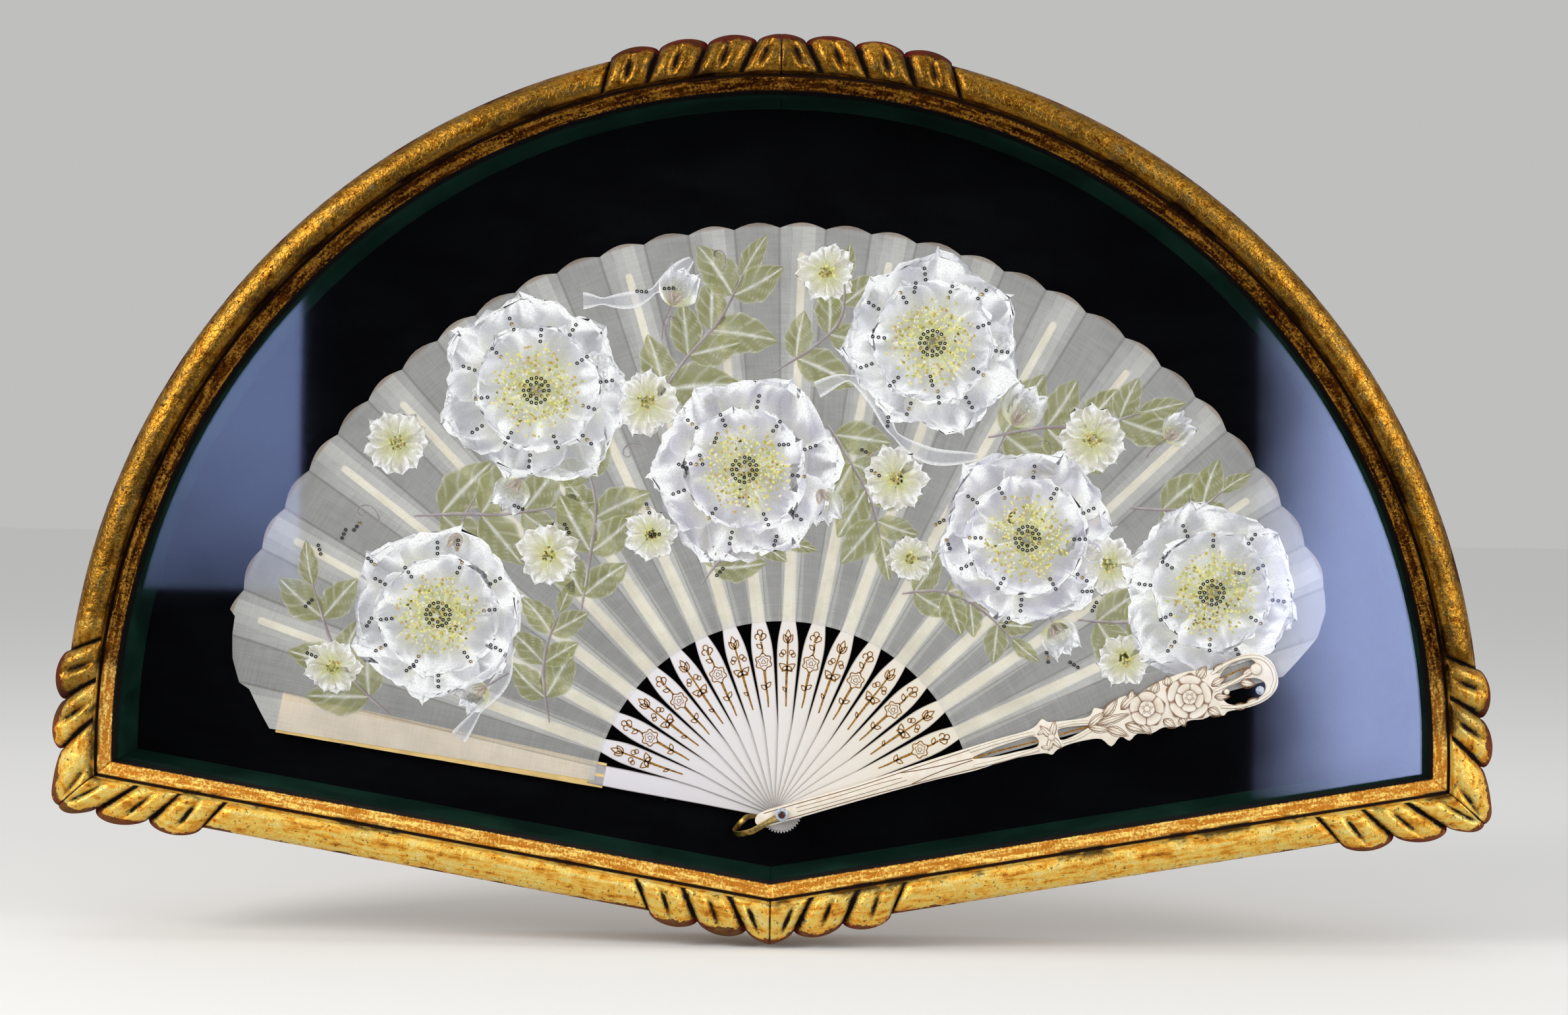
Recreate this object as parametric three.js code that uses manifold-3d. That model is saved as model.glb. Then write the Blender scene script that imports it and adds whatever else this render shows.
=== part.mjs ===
// The framed folding fan: an arched gilt shadow-box frame with a glazed front,
// and inside it an open folding fan of bone sticks with a pleated gauze leaf.
// Millimetres. X runs to the right, Z up, and the front faces -Y; the rear edges
// of the case lie on Y = 0, which is the wall.
import * as THREE from "three";
import Module from "manifold-3d";
import { mergeVertices } from "three/addons/utils/BufferGeometryUtils.js";

const wasm = await Module();
wasm.setup();

const degree = Math.PI / 180;

// The sight line, the inner edge of the frame: a half circle, short jambs, a V below
const sight_radius = 341;
const jamb_drop = 9.6;
const vee_drop = 58.9;
const hang_height = 150; // from the arch centre up to the line of the hangers
const arc_steps = 60; // chords in the half circle, shared by every curved piece

// Running clearances
const joint_gap = 0.3; // between pieces that meet
const pane_clearance = 1; // round the glass in its rabbet
const cut_overrun = 2; // how far every cutter runs past its cut

// Gilt moulding, measured outwards from the sight line and forwards from the wall
const moulding_width = 25.5;
const moulding_front = 64;
const band_front = 60.6;
const sight_front = 58;
const band_width = 7;
const groove_width = 3;
const groove_depth = 1.8;
const roll_back = 56.5;
const rabbet_width = 4.6;
const lip_back = 46.3;
const roll_points = 6;
const seam_angle = 31.3; // degrees above the horizontal, the joint seen in the left arch

// Carved lobes of the crown, the two corners and the apex
const lobe_steps = 6; // an even number, so that half a lobe has whole steps
const lobe_slant = 9; // how far a flute leans from the edge to the groove
const lobe_cut = 2.6; // depth of the flutes between the lobes
const crown_lobe = { first: 12.7, pitch: 25.5, count: 3, rise: 4.6 };
const jamb_lobe = { first: 27, pitch: 24, count: 2, rise: 6.6 };
const rail_lobe = { first: 18, pitch: 27.5, count: 2, rise: 6.6 };
const apex_lobe = { first: 12.5, pitch: 25.5, count: 2, rise: 5.8 };

// Shadow-box case
const wall_depth = 43.7;
const wall_inset = 3.3; // inner face of the wall outside the sight line
const wall_thickness = 12;
const rebate_width = 6;
const rebate_depth = 9.3;
const panel_thickness = 3;
const board_thickness = 3;
const glass_thickness = 2;
const liner_front_inset = 1;
const liner_splay = 4; // how far the velvet liner leans inwards over its depth

// Screws of the back panel
const screw_head_radius = 2.5;
const screw_head_height = 1.8;
const screw_crown_share = 0.7; // of the head's radius, its flat crown
const screw_shank_radius = 1.3;
const screw_length = 9;
const screw_clearance = 0.3;
const screw_sides = 10;
const panel_screw_angles = [30, 72, 108, 150];
const rail_screw_share = 0.5;

// Hangers on the back panel
const hanger_spread = 200;
const hanger_plate_width = 9;
const hanger_plate_length = 26;
const hanger_plate_thickness = 1;
const hanger_barrel_radius = 2.1;
const hanger_screw_share = 0.62; // of the plate's length, where its screw sits
const ring_wire_radius = 1;
const ring_clearance = 0.3;
const d_ring_width = 17;
const d_ring_drop = 14;
const d_ring_sides = 8;
const d_ring_shares = [
  [0.72, 0], [0.91, 0.05], [1, 0.18], [1, 0.4], [0.82, 0.72], [0.45, 0.94],
];

// Folding fan: pivot from the arch centre, then sticks counted from the left
const pivot_x = 5.4;
const pivot_z = -35;
const stick_count = 16;
const rear_guard_angle = 169.7;
const stick_angle = 9;
const rivet_radius = 1.5;
const rivet_clearance = 0.3;
const bore_sides = 12;
const stick_thickness = 0.7;
const stick_pitch = 1;
const tail_length = 11;
const stick_root_half = 3.75;
const stick_waist_half = 3.65;
const stick_waist_reach = 46;
const stick_belly_half = 5.5;
const stick_belly_reach = 84;
const stick_shoulder_half = 4.9;
const stick_shoulder_reach = 97;
const rib_root_half = 3.5;
const rib_root_reach = 101.5;
const rib_tip_half = 2.25;
const rib_tip_reach = 296;

// Rear guard, plain
const rear_guard_thickness = 2.2;
const rear_guard_half = 4.8;
const rear_guard_belly_half = 5.4;
const rear_guard_end_half = 10.8;
const rear_guard_reach = 278;
const rear_guard_neck_half = 6.6;
const rear_guard_neck_reach = 96;

// Front guard, carved
const front_guard_thickness = 2.6;
const guard_length = 270;
const guard_half = 14;
const rose_relief = 1.2;
const rose_petals = 5;
const rose_points = 30;
const rose_wave_share = 0.13;
const rose_spacing = 23.1;
const big_rose = { reach: 222.3, side: 0.6, radius: 10.4, tiers: [1, 0.66, 0.3] };
const small_rose = {
  reach: big_rose.reach - rose_spacing,
  side: 1,
  radius: 7.6,
  tiers: [1, 0.6],
};
const stud_radius = 2.3;
const stud_thickness = 2;
const stud_reach = 259.2;
const stud_side = -6.4;

// Rivet and ring
const washer_radius = 3.5;
const washer_thickness = 0.8;
const rivet_head_radius = 1.9;
const rivet_head_height = 0.5;
const ring_strap_thickness = 0.7;
const ring_strap_half = 1.5;
const ring_eye_radius = 3.2;
const ring_eye_swell = 0.06; // the eyes are hammered a little thicker than the strap
const ring_reach = 27;
const ring_side = 6;
const ring_angle = 210;
const ring_leg_share = 0.66; // of the reach, where the straight legs end
const ring_bow_shares = [0.12, 0.25, 0.4, 0.55, 0.7, 0.85];

// Leaf of gauze, pleated
const leaf_inner_reach = 101;
const leaf_outer_reach = 308.6;
const scallop_rise = 3;
const leaf_thickness = 0.2;
const leaf_clearance = 0.1;
const pleat_relief = 0.45;
const rib_margin = 0.4;
const leaf_row_shares = [0, 0.25, 0.5, 0.75, 1];
const leaf_left_half = 1.95; // degrees of leaf beyond the rear guard's centre line
const leaf_right_side = -3; // where the leaf ends under the front guard
const leaf_right_angle = 1.5; // degrees above the front guard's centre line
const leaf_left_reaches = [278, 278, 279, 293, 303];
const leaf_right_reaches = [305, 296, 290, 273];

// Pins that hold the fan on the board
const pin_radius = 0.7;
const pin_embed = 2.2;
const pin_sides = 8;
const rear_pin_reaches = [62, 236];
const front_pin_reach = 160;
const front_pin_side = -6.3; // the carved guard's lower edge where its pin stands

// Depths worked out from the sizes above, all behind or in front of one another
const panel_back_y = -(rebate_depth - joint_gap - panel_thickness);
const board_back_y = -rebate_depth;
const board_front_y = board_back_y - board_thickness;
const rear_washer_back_y = board_front_y - joint_gap;
const rear_eye_back_y = rear_washer_back_y - washer_thickness - joint_gap;
const rear_guard_back_y = rear_eye_back_y - ring_strap_thickness - joint_gap;
const rear_guard_front_y = rear_guard_back_y - rear_guard_thickness;
const first_stick_back_y = rear_guard_front_y - joint_gap;
const last_stick_front_y =
  first_stick_back_y - stick_pitch * (stick_count - 1) - stick_thickness;
const front_guard_back_y =
  last_stick_front_y - leaf_thickness - leaf_clearance - joint_gap;
const front_guard_front_y = front_guard_back_y - front_guard_thickness;
const front_eye_back_y = front_guard_front_y - joint_gap;
const front_washer_back_y = front_eye_back_y - ring_strap_thickness - joint_gap;
const rivet_front_y = front_washer_back_y - washer_thickness - joint_gap;
const glass_back_y = -(wall_depth + joint_gap);

// The bottom rails: their run, slope and mitres
const rail_length = Math.hypot(sight_radius, vee_drop);
const rail_cos = sight_radius / rail_length;
const rail_sin = vee_drop / rail_length;
const corner_skew = (1 - rail_sin) / rail_cos;
const apex_skew = rail_sin / rail_cos;
const apex_z = -jamb_drop - vee_drop;

const gilt = new THREE.MeshStandardMaterial({
  color: 0xb8862b,
  metalness: 0.8,
  roughness: 0.4,
});
const velvet_green = new THREE.MeshStandardMaterial({ color: 0x0b2a20 });
const velvet_black = new THREE.MeshStandardMaterial({ color: 0x050605 });
const pine = new THREE.MeshStandardMaterial({ color: 0x8a6a44 });
const plywood = new THREE.MeshStandardMaterial({ color: 0xb79a6b });
const glass = new THREE.MeshStandardMaterial({
  color: 0xdfe8ea,
  transparent: true,
  opacity: 0.25,
});
const steel = new THREE.MeshStandardMaterial({ color: 0x9a9a98, metalness: 0.9 });
const brass = new THREE.MeshStandardMaterial({ color: 0xb08d3a, metalness: 0.9 });
const bone = new THREE.MeshStandardMaterial({ color: 0xf0ebe2 });
const gauze = new THREE.MeshStandardMaterial({ color: 0xb9b3a6 });
const pearl = new THREE.MeshStandardMaterial({ color: 0xdfe0e6 });
const black_pin = new THREE.MeshStandardMaterial({ color: 0x101010 });

const group = new THREE.Group();
const assembly = new THREE.Group();
assembly.position.z = -hang_height;
group.add(assembly);

function addPiece(name, geometry, material) {
  const mesh = new THREE.Mesh(geometry, material);
  mesh.name = name;
  assembly.add(mesh);
}

// Turns a geometry into a solid for joining and cutting.
function solidFrom(geometry) {
  const bare = new THREE.BufferGeometry();
  const source = geometry.index ? geometry.toNonIndexed() : geometry;
  bare.setAttribute("position", source.getAttribute("position").clone());
  const merged = mergeVertices(bare, 1e-4);
  const kept = [];
  const corners = merged.index.array;
  for (let i = 0; i < corners.length; i += 3) {
    const [a, b, c] = [corners[i], corners[i + 1], corners[i + 2]];
    if (a !== b && b !== c && a !== c) kept.push(a, b, c);
  }
  return new wasm.Manifold(
    new wasm.Mesh({
      numProp: 3,
      vertProperties: new Float32Array(merged.attributes.position.array),
      triVerts: new Uint32Array(kept),
    }),
  );
}

function geometryFrom(solid) {
  const mesh = solid.getMesh();
  const geometry = new THREE.BufferGeometry();
  geometry.setAttribute(
    "position",
    new THREE.BufferAttribute(new Float32Array(mesh.vertProperties), 3),
  );
  geometry.setIndex(new THREE.BufferAttribute(new Uint32Array(mesh.triVerts), 1));
  geometry.computeVertexNormals();
  return geometry;
}

// Builds triangles from points and turns them all outwards.
function closedGeometry(points, triangles) {
  let volume = 0;
  for (const [a, b, c] of triangles) {
    const [p, q, r] = [points[a], points[b], points[c]];
    volume += p.dot(new THREE.Vector3().crossVectors(q, r));
  }
  const order = volume < 0 ? triangles.map(([a, b, c]) => [a, c, b]) : triangles;
  const geometry = new THREE.BufferGeometry().setFromPoints(points);
  geometry.setIndex(order.flat());
  return geometryFrom(solidFrom(geometry));
}

// Joins closed rings of equal count into one body, with caps or as an endless loop.
function ringBody(rings, section, endless = false) {
  const size = rings[0].length;
  const points = rings.flat();
  const triangles = [];
  const spans = endless ? rings.length : rings.length - 1;
  for (let i = 0; i < spans; i += 1) {
    const next = ((i + 1) % rings.length) * size;
    for (let j = 0; j < size; j += 1) {
      const k = (j + 1) % size;
      triangles.push([i * size + j, next + j, next + k]);
      triangles.push([i * size + j, next + k, i * size + k]);
    }
  }
  if (!endless) {
    const last = (rings.length - 1) * size;
    const counterclockwise = THREE.ShapeUtils.area(section) > 0;
    for (const [a, b, c] of THREE.ShapeUtils.triangulateShape(section, [])) {
      const cap = counterclockwise ? [a, b, c] : [a, c, b];
      triangles.push(cap);
      triangles.push([last + cap[0], last + cap[2], last + cap[1]]);
    }
  }
  return closedGeometry(points, triangles);
}

// A flat plate: the shape lies in X and Z, and its thickness runs forwards from back_y.
function plate(shape, back_y, thickness) {
  const geometry = new THREE.ExtrudeGeometry(shape, {
    depth: thickness,
    bevelEnabled: false,
    steps: 1,
  });
  geometry.rotateX(Math.PI / 2).translate(0, back_y, 0);
  return geometryFrom(solidFrom(geometry));
}

// A turned piece on the Y axis, from points of radius and depth.
function turned(points, sides) {
  const outline = points.map(([radius, y]) => new THREE.Vector2(radius, y));
  const solid = solidFrom(new THREE.LatheGeometry(outline, sides));
  return geometryFrom(solid.volume() < 0 ? solidFrom(flipped(outline, sides)) : solid);
}

function flipped(outline, sides) {
  return new THREE.LatheGeometry([...outline].reverse(), sides);
}

function rodAlongY(radius, from_y, to_y, sides) {
  const length = Math.abs(to_y - from_y);
  const rod = new THREE.CylinderGeometry(radius, radius, length, sides);
  return rod.translate(0, (from_y + to_y) / 2, 0);
}

// Stations of the sight line. Each has its place, the direction in which a width is
// laid off, the carving that it carries and its distance from that carving's centre.
function lobeStops(lobe) {
  const stops = [0];
  let from = 0;
  for (let k = 0; k <= lobe.count; k += 1) {
    const to = lobe.first + k * lobe.pitch;
    const steps = k === 0 ? lobe_steps / 2 : lobe_steps;
    for (let s = 1; s <= steps; s += 1) stops.push(from + ((to - from) * s) / steps);
    from = to;
  }
  return stops;
}

function lobeReach(lobe) {
  return lobe.first + lobe.count * lobe.pitch;
}

function archStation(angle, shift, lobe = null, distance = 0, skew = 0) {
  const [c, s] = [Math.cos(angle * degree), Math.sin(angle * degree)];
  return {
    x: sight_radius * c - shift * s,
    z: sight_radius * s + shift * c,
    out: [c, s - skew],
    lobe,
    distance,
  };
}

function jambStation(z, lobe, distance, skew) {
  return { x: sight_radius, z, out: [1, -skew], lobe, distance };
}

function railStation(run, lobe, distance, skew) {
  return {
    x: sight_radius - rail_cos * run,
    z: -jamb_drop - rail_sin * run,
    out: [rail_sin + rail_cos * skew, -rail_cos + rail_sin * skew],
    lobe,
    distance,
  };
}

// Angles of the shared chords between two limits.
function chordAngles(from, to) {
  const step = 180 / arc_steps;
  const angles = [];
  for (let k = 0; k <= arc_steps; k += 1) {
    const angle = k * step;
    if (angle > from + step / 4 && angle < to - step / 4) angles.push(angle);
  }
  return angles;
}

// From the right-hand corner up its jamb and round the arch to an angle.
function plainArchStations(to_angle) {
  const stations = [jambStation(-jamb_drop + joint_gap / 2, null, 0, corner_skew)];
  stations.push(jambStation(0, null, 0, 0));
  for (const angle of chordAngles(0, to_angle)) stations.push(archStation(angle, 0));
  stations.push(archStation(to_angle, -joint_gap / 2));
  return stations;
}

function carvedCornerStations(to_angle) {
  const reach = lobeReach(jamb_lobe);
  const skewed_run = corner_skew * moulding_width;
  const stations = [];
  for (const distance of lobeStops(jamb_lobe)) {
    const share = distance / reach;
    const skew = corner_skew * (1 - share);
    const rise = distance - skewed_run * share;
    const z = -jamb_drop + rise + (distance === 0 ? joint_gap / 2 : 0);
    if (z <= 0) {
      stations.push(jambStation(z, jamb_lobe, distance, skew));
    } else {
      const angle = z / sight_radius / degree;
      stations.push(archStation(angle, 0, jamb_lobe, distance, skew));
    }
  }
  const carved_angle = (reach - skewed_run - jamb_drop) / sight_radius / degree;
  for (const angle of chordAngles(carved_angle, to_angle)) {
    stations.push(archStation(angle, 0));
  }
  stations.push(archStation(to_angle, -joint_gap / 2));
  return stations;
}

function carvedCrownStations(from_angle) {
  const edge_radius = sight_radius + moulding_width;
  const carved_angle = 90 - lobeReach(crown_lobe) / edge_radius / degree;
  const stations = [archStation(from_angle, joint_gap / 2)];
  for (const angle of chordAngles(from_angle, carved_angle)) {
    stations.push(archStation(angle, 0));
  }
  for (const distance of lobeStops(crown_lobe).reverse()) {
    const angle = 90 - distance / edge_radius / degree;
    const shift = distance === 0 ? -joint_gap / 2 : 0;
    stations.push(archStation(angle, shift, crown_lobe, distance));
  }
  return stations;
}

function carvedRailStations() {
  const stations = [];
  const corner_reach = lobeReach(rail_lobe);
  const corner_run = corner_skew * moulding_width;
  for (const distance of lobeStops(rail_lobe)) {
    const share = distance / corner_reach;
    const run = distance - corner_run * share + (distance === 0 ? joint_gap / 2 : 0);
    stations.push(railStation(run, rail_lobe, distance, corner_skew * (1 - share)));
  }
  const apex_reach = lobeReach(apex_lobe);
  const apex_run = apex_skew * moulding_width;
  for (const distance of lobeStops(apex_lobe).reverse()) {
    const share = distance / apex_reach;
    const gap = distance === 0 ? joint_gap / 2 : 0;
    const run = rail_length - distance - apex_run * share - gap;
    stations.push(railStation(run, apex_lobe, distance, -apex_skew * (1 - share)));
  }
  return stations;
}

function plainRailStations() {
  return [
    railStation(joint_gap / 2, null, 0, corner_skew),
    railStation(rail_length - joint_gap / 2, null, 0, -apex_skew),
  ];
}

// Height of a lobe, 0 in its flutes and 1 on its crest.
function lobeHeight(lobe, distance) {
  let from = -lobe.first;
  for (let k = 0; k <= lobe.count; k += 1) {
    const to = lobe.first + k * lobe.pitch;
    if (distance <= to) {
      return Math.sqrt(Math.max(0, Math.sin((Math.PI * (distance - from)) / (to - from))));
    }
    from = to;
  }
  return 0;
}

// Section of the gilt moulding as widths from the sight line and depths.
function mouldingSection(station) {
  const section = [
    [0, -lip_back],
    [0, -sight_front],
    [band_width, -band_front],
    [band_width + groove_width / 3, -band_front + groove_depth],
    [band_width + groove_width, -band_front + groove_depth],
  ];
  const roll_from = band_width + groove_width;
  const roll_width = moulding_width - roll_from;
  for (let k = 0; k <= roll_points; k += 1) {
    const turn = (Math.PI * k) / roll_points;
    const across = (1 - Math.cos(turn)) / 2;
    const base = -band_front + (band_front - roll_back) * across;
    const swell = (moulding_front - (band_front + roll_back) / 2) * Math.sin(turn);
    let width = roll_from + roll_width * across;
    let depth = base - swell;
    if (station.lobe) {
      const lean = lobe_slant * (1 - across);
      const distance = Math.max(0, station.distance - lean);
      const height = lobeHeight(station.lobe, distance);
      width += station.lobe.rise * height * across * across;
      depth += lobe_cut * (1 - height) * Math.sin(turn);
    }
    section.push([width, depth]);
  }
  section.push([moulding_width, -wall_depth - joint_gap]);
  section.push([rabbet_width, -wall_depth - joint_gap]);
  section.push([rabbet_width, -lip_back]);
  return section;
}

function wallSection() {
  const rebate = wall_inset + rebate_width;
  const outside = wall_inset + wall_thickness;
  return [
    [wall_inset, -wall_depth],
    [outside, -wall_depth],
    [outside, 0],
    [rebate, 0],
    [rebate, -rebate_depth],
    [wall_inset, -rebate_depth],
  ];
}

function linerSection() {
  const outside = wall_inset - joint_gap;
  const front = wall_depth;
  const back = -board_front_y + joint_gap;
  return [
    [liner_front_inset, -front],
    [outside, -front],
    [outside, -back],
    [liner_front_inset - liner_splay, -back],
  ];
}

// Sweeps a section along stations, on the right or mirrored to the left.
function swept(stations, sectionAt, side) {
  const rings = stations.map((station) =>
    sectionAt(station).map(
      ([width, y]) =>
        new THREE.Vector3(
          side * (station.x + station.out[0] * width),
          y,
          station.z + station.out[1] * width,
        ),
    ),
  );
  const section = sectionAt(stations[0]).map(([u, y]) => new THREE.Vector2(u, y));
  return ringBody(rings, section);
}

const sides = [
  ["right", 1],
  ["left", -1],
];

for (const [side_name, side] of sides) {
  addPiece(
    `moulding_lower_arch_${side_name}`,
    swept(carvedCornerStations(seam_angle), mouldingSection, side),
    gilt,
  );
  addPiece(
    `moulding_upper_arch_${side_name}`,
    swept(carvedCrownStations(seam_angle), mouldingSection, side),
    gilt,
  );
  addPiece(
    `moulding_bottom_rail_${side_name}`,
    swept(carvedRailStations(), mouldingSection, side),
    gilt,
  );
  addPiece(
    `velvet_liner_arch_${side_name}`,
    swept(plainArchStations(90), linerSection, side),
    velvet_green,
  );
  addPiece(
    `velvet_liner_bottom_${side_name}`,
    swept(plainRailStations(), linerSection, side),
    velvet_green,
  );
}

// Closed outline of the sight line widened by a distance, on the shared chords.
function outlinePoints(width) {
  const half = [jambStation(-jamb_drop, null, 0, corner_skew), jambStation(0, null, 0, 0)];
  for (const angle of chordAngles(0, 90)) half.push(archStation(angle, 0));
  const right = half.map((s) => [s.x + s.out[0] * width, s.z + s.out[1] * width]);
  const left = [...right].reverse().map(([x, z]) => [-x, z]);
  const top = [0, sight_radius + width];
  const bottom = [0, apex_z - width / rail_cos];
  return [bottom, ...right, top, ...left].map(([x, z]) => new THREE.Vector2(x, z));
}

addPiece(
  "glass_pane",
  plate(
    new THREE.Shape(outlinePoints(rabbet_width - pane_clearance)),
    glass_back_y,
    glass_thickness,
  ),
  glass,
);

// Places of the panel screws, on the middle of the wall's rebate.
const screw_line = wall_inset + rebate_width / 2;
const panel_screw_places = panel_screw_angles.map((angle) => [
  (sight_radius + screw_line) * Math.cos(angle * degree),
  (sight_radius + screw_line) * Math.sin(angle * degree),
]);
for (const [, side] of sides) {
  const station = railStation(rail_length * rail_screw_share, null, 0, 0);
  panel_screw_places.push([
    side * (station.x + station.out[0] * screw_line),
    station.z + station.out[1] * screw_line,
  ]);
}

function cutHoles(geometry, places, radius, from_y, to_y) {
  let solid = solidFrom(geometry);
  for (const [x, z] of places) {
    const drill = rodAlongY(radius, from_y, to_y, screw_sides).translate(x, 0, z);
    solid = solid.subtract(solidFrom(drill));
  }
  return geometryFrom(solid);
}

const screw_end_y = panel_back_y - screw_length;
const screw_hole_radius = screw_shank_radius + screw_clearance;

for (const [side_name, side] of sides) {
  const stations = { arch: plainArchStations(90), bottom: plainRailStations() };
  for (const [part, run] of Object.entries(stations)) {
    const wall = cutHoles(
      swept(run, wallSection, side),
      panel_screw_places,
      screw_hole_radius,
      screw_end_y - screw_clearance,
      panel_back_y,
    );
    addPiece(`case_wall_${part}_${side_name}`, wall, pine);
  }
}

// Back panel, screwed into the rebate, with holes for the hanger screws too
const hanger_z = hang_height;
const hanger_places = sides.map(([, side]) => [side * hanger_spread, hanger_z]);
const plate_screw_z = hanger_z + hanger_plate_length * hanger_screw_share;
const plate_screw_places = hanger_places.map(([x]) => [x, plate_screw_z]);

addPiece(
  "back_panel",
  cutHoles(
    plate(
      new THREE.Shape(outlinePoints(wall_inset + rebate_width - joint_gap)),
      panel_back_y,
      panel_thickness,
    ),
    [...panel_screw_places, ...plate_screw_places],
    screw_hole_radius,
    panel_back_y - panel_thickness - cut_overrun,
    panel_back_y + cut_overrun,
  ),
  plywood,
);

function screw(seat_y, length) {
  const head_y = seat_y + joint_gap;
  return turned(
    [
      [0, seat_y - length],
      [screw_shank_radius, seat_y - length],
      [screw_shank_radius, head_y],
      [screw_head_radius, head_y],
      [screw_head_radius * screw_crown_share, head_y + screw_head_height],
      [0, head_y + screw_head_height],
    ],
    screw_sides,
  );
}

panel_screw_places.forEach(([x, z], i) => {
  addPiece(`panel_screw_${i + 1}`, screw(panel_back_y, screw_length).translate(x, 0, z), steel);
});

// Hangers: a strap plate with a rolled barrel, a D ring in it and a screw
const plate_back_y = panel_back_y + joint_gap + hanger_plate_thickness;
const barrel_y = panel_back_y + joint_gap + hanger_barrel_radius;

function hangerPlate() {
  const half = hanger_plate_width / 2;
  const strap = new THREE.BoxGeometry(
    hanger_plate_width,
    hanger_plate_thickness,
    hanger_plate_length,
  ).translate(0, plate_back_y - hanger_plate_thickness / 2, hanger_plate_length / 2);
  const barrel = new THREE.CylinderGeometry(
    hanger_barrel_radius,
    hanger_barrel_radius,
    hanger_plate_width,
    bore_sides,
  )
    .rotateZ(Math.PI / 2)
    .translate(0, barrel_y, 0);
  const bore = new THREE.CylinderGeometry(
    ring_wire_radius + ring_clearance,
    ring_wire_radius + ring_clearance,
    hanger_plate_width + 2 * cut_overrun,
    bore_sides,
  )
    .rotateZ(Math.PI / 2)
    .translate(0, barrel_y, 0);
  const hole = rodAlongY(
    screw_hole_radius,
    panel_back_y - cut_overrun,
    half + cut_overrun,
    screw_sides,
  ).translate(0, 0, plate_screw_z - hanger_z);
  return geometryFrom(
    solidFrom(strap)
      .add(solidFrom(barrel))
      .subtract(solidFrom(bore))
      .subtract(solidFrom(hole)),
  );
}

// A round wire bent along a closed run of points in the plane of the back panel.
function wireLoop(points, radius, wire_sides) {
  const count = points.length;
  const rings = points.map((point, i) => {
    const before = points[(i + count - 1) % count];
    const after = points[(i + 1) % count];
    const along = after.clone().sub(before).normalize();
    const across = new THREE.Vector3(0, 1, 0);
    const side = new THREE.Vector3().crossVectors(along, across);
    return Array.from({ length: wire_sides }, (_, k) => {
      const turn = (2 * Math.PI * k) / wire_sides;
      return point
        .clone()
        .addScaledVector(side, radius * Math.cos(turn))
        .addScaledVector(across, radius * Math.sin(turn));
    });
  });
  return ringBody(rings, null, true);
}

function dRing() {
  const half_points = d_ring_shares.map(([side_share, drop_share]) => [
    (d_ring_width / 2) * side_share,
    -d_ring_drop * drop_share,
  ]);
  const left_points = [...half_points].reverse().map(([x, z]) => [-x, z]);
  const outline = [...half_points, [0, -d_ring_drop], ...left_points];
  const points = outline.map(([x, z]) => new THREE.Vector3(x, barrel_y, z));
  return wireLoop(points, ring_wire_radius, d_ring_sides);
}

sides.forEach(([side_name], i) => {
  const [x, z] = hanger_places[i];
  addPiece(`hanger_plate_${side_name}`, hangerPlate().translate(x, 0, z), brass);
  addPiece(`hanger_ring_${side_name}`, dRing().translate(x, 0, z), brass);
  const length = plate_back_y - (panel_back_y - panel_thickness);
  const hanger_screw = screw(plate_back_y, length);
  addPiece(
    `hanger_screw_${side_name}`,
    hanger_screw.translate(x, 0, plate_screw_z),
    steel,
  );
});

// Turns a piece from its own run along +X to its angle round the pivot.
function placeOnFan(geometry, angle) {
  return geometry.rotateY(-angle * degree).translate(pivot_x, 0, pivot_z);
}

function fanPoint(angle, reach, side = 0) {
  const [c, s] = [Math.cos(angle * degree), Math.sin(angle * degree)];
  return [pivot_x + reach * c - side * s, pivot_z + reach * s + side * c];
}

const bore_radius = rivet_radius + rivet_clearance;

function boreSolid(from_y, to_y) {
  return solidFrom(rodAlongY(bore_radius, from_y, to_y, bore_sides));
}

// A bored blade from points of reach and half width, mirrored about its centre line.
function blade(edge, back_y, thickness) {
  const upper = edge.map(([reach, half]) => new THREE.Vector2(reach, half));
  const lower = [...edge].reverse().map(([reach, half]) => new THREE.Vector2(reach, -half));
  const flat = plate(new THREE.Shape([...lower, ...upper]), back_y, thickness);
  const bore = boreSolid(back_y + cut_overrun, back_y - thickness - cut_overrun);
  return geometryFrom(solidFrom(flat).subtract(bore));
}

const stick_edge = [
  [-tail_length, stick_root_half],
  [0, stick_root_half],
  [stick_waist_reach, stick_waist_half],
  [(stick_waist_reach + stick_belly_reach) / 2, (stick_waist_half + stick_belly_half) / 2],
  [stick_belly_reach, stick_belly_half],
  [(stick_belly_reach + stick_shoulder_reach) / 2, stick_belly_half],
  [stick_shoulder_reach, stick_shoulder_half],
  [rib_root_reach, rib_root_half],
  [rib_tip_reach, rib_tip_half],
];

for (let i = 1; i <= stick_count; i += 1) {
  const back_y = first_stick_back_y - stick_pitch * (i - 1);
  const stick = blade(stick_edge, back_y, stick_thickness);
  const name = `stick_${String(i).padStart(2, "0")}`;
  addPiece(name, placeOnFan(stick, rear_guard_angle - stick_angle * i), bone);
}

const rear_guard_edge = [
  [-tail_length, rear_guard_half],
  [0, rear_guard_half],
  [stick_waist_reach, rear_guard_half],
  [stick_belly_reach, rear_guard_belly_half],
  [rear_guard_neck_reach, rear_guard_belly_half],
  [rear_guard_neck_reach, rear_guard_neck_half],
  [rear_guard_reach, rear_guard_end_half],
];
addPiece(
  "rear_guard",
  placeOnFan(
    blade(rear_guard_edge, rear_guard_back_y, rear_guard_thickness),
    rear_guard_angle,
  ),
  bone,
);

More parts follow.
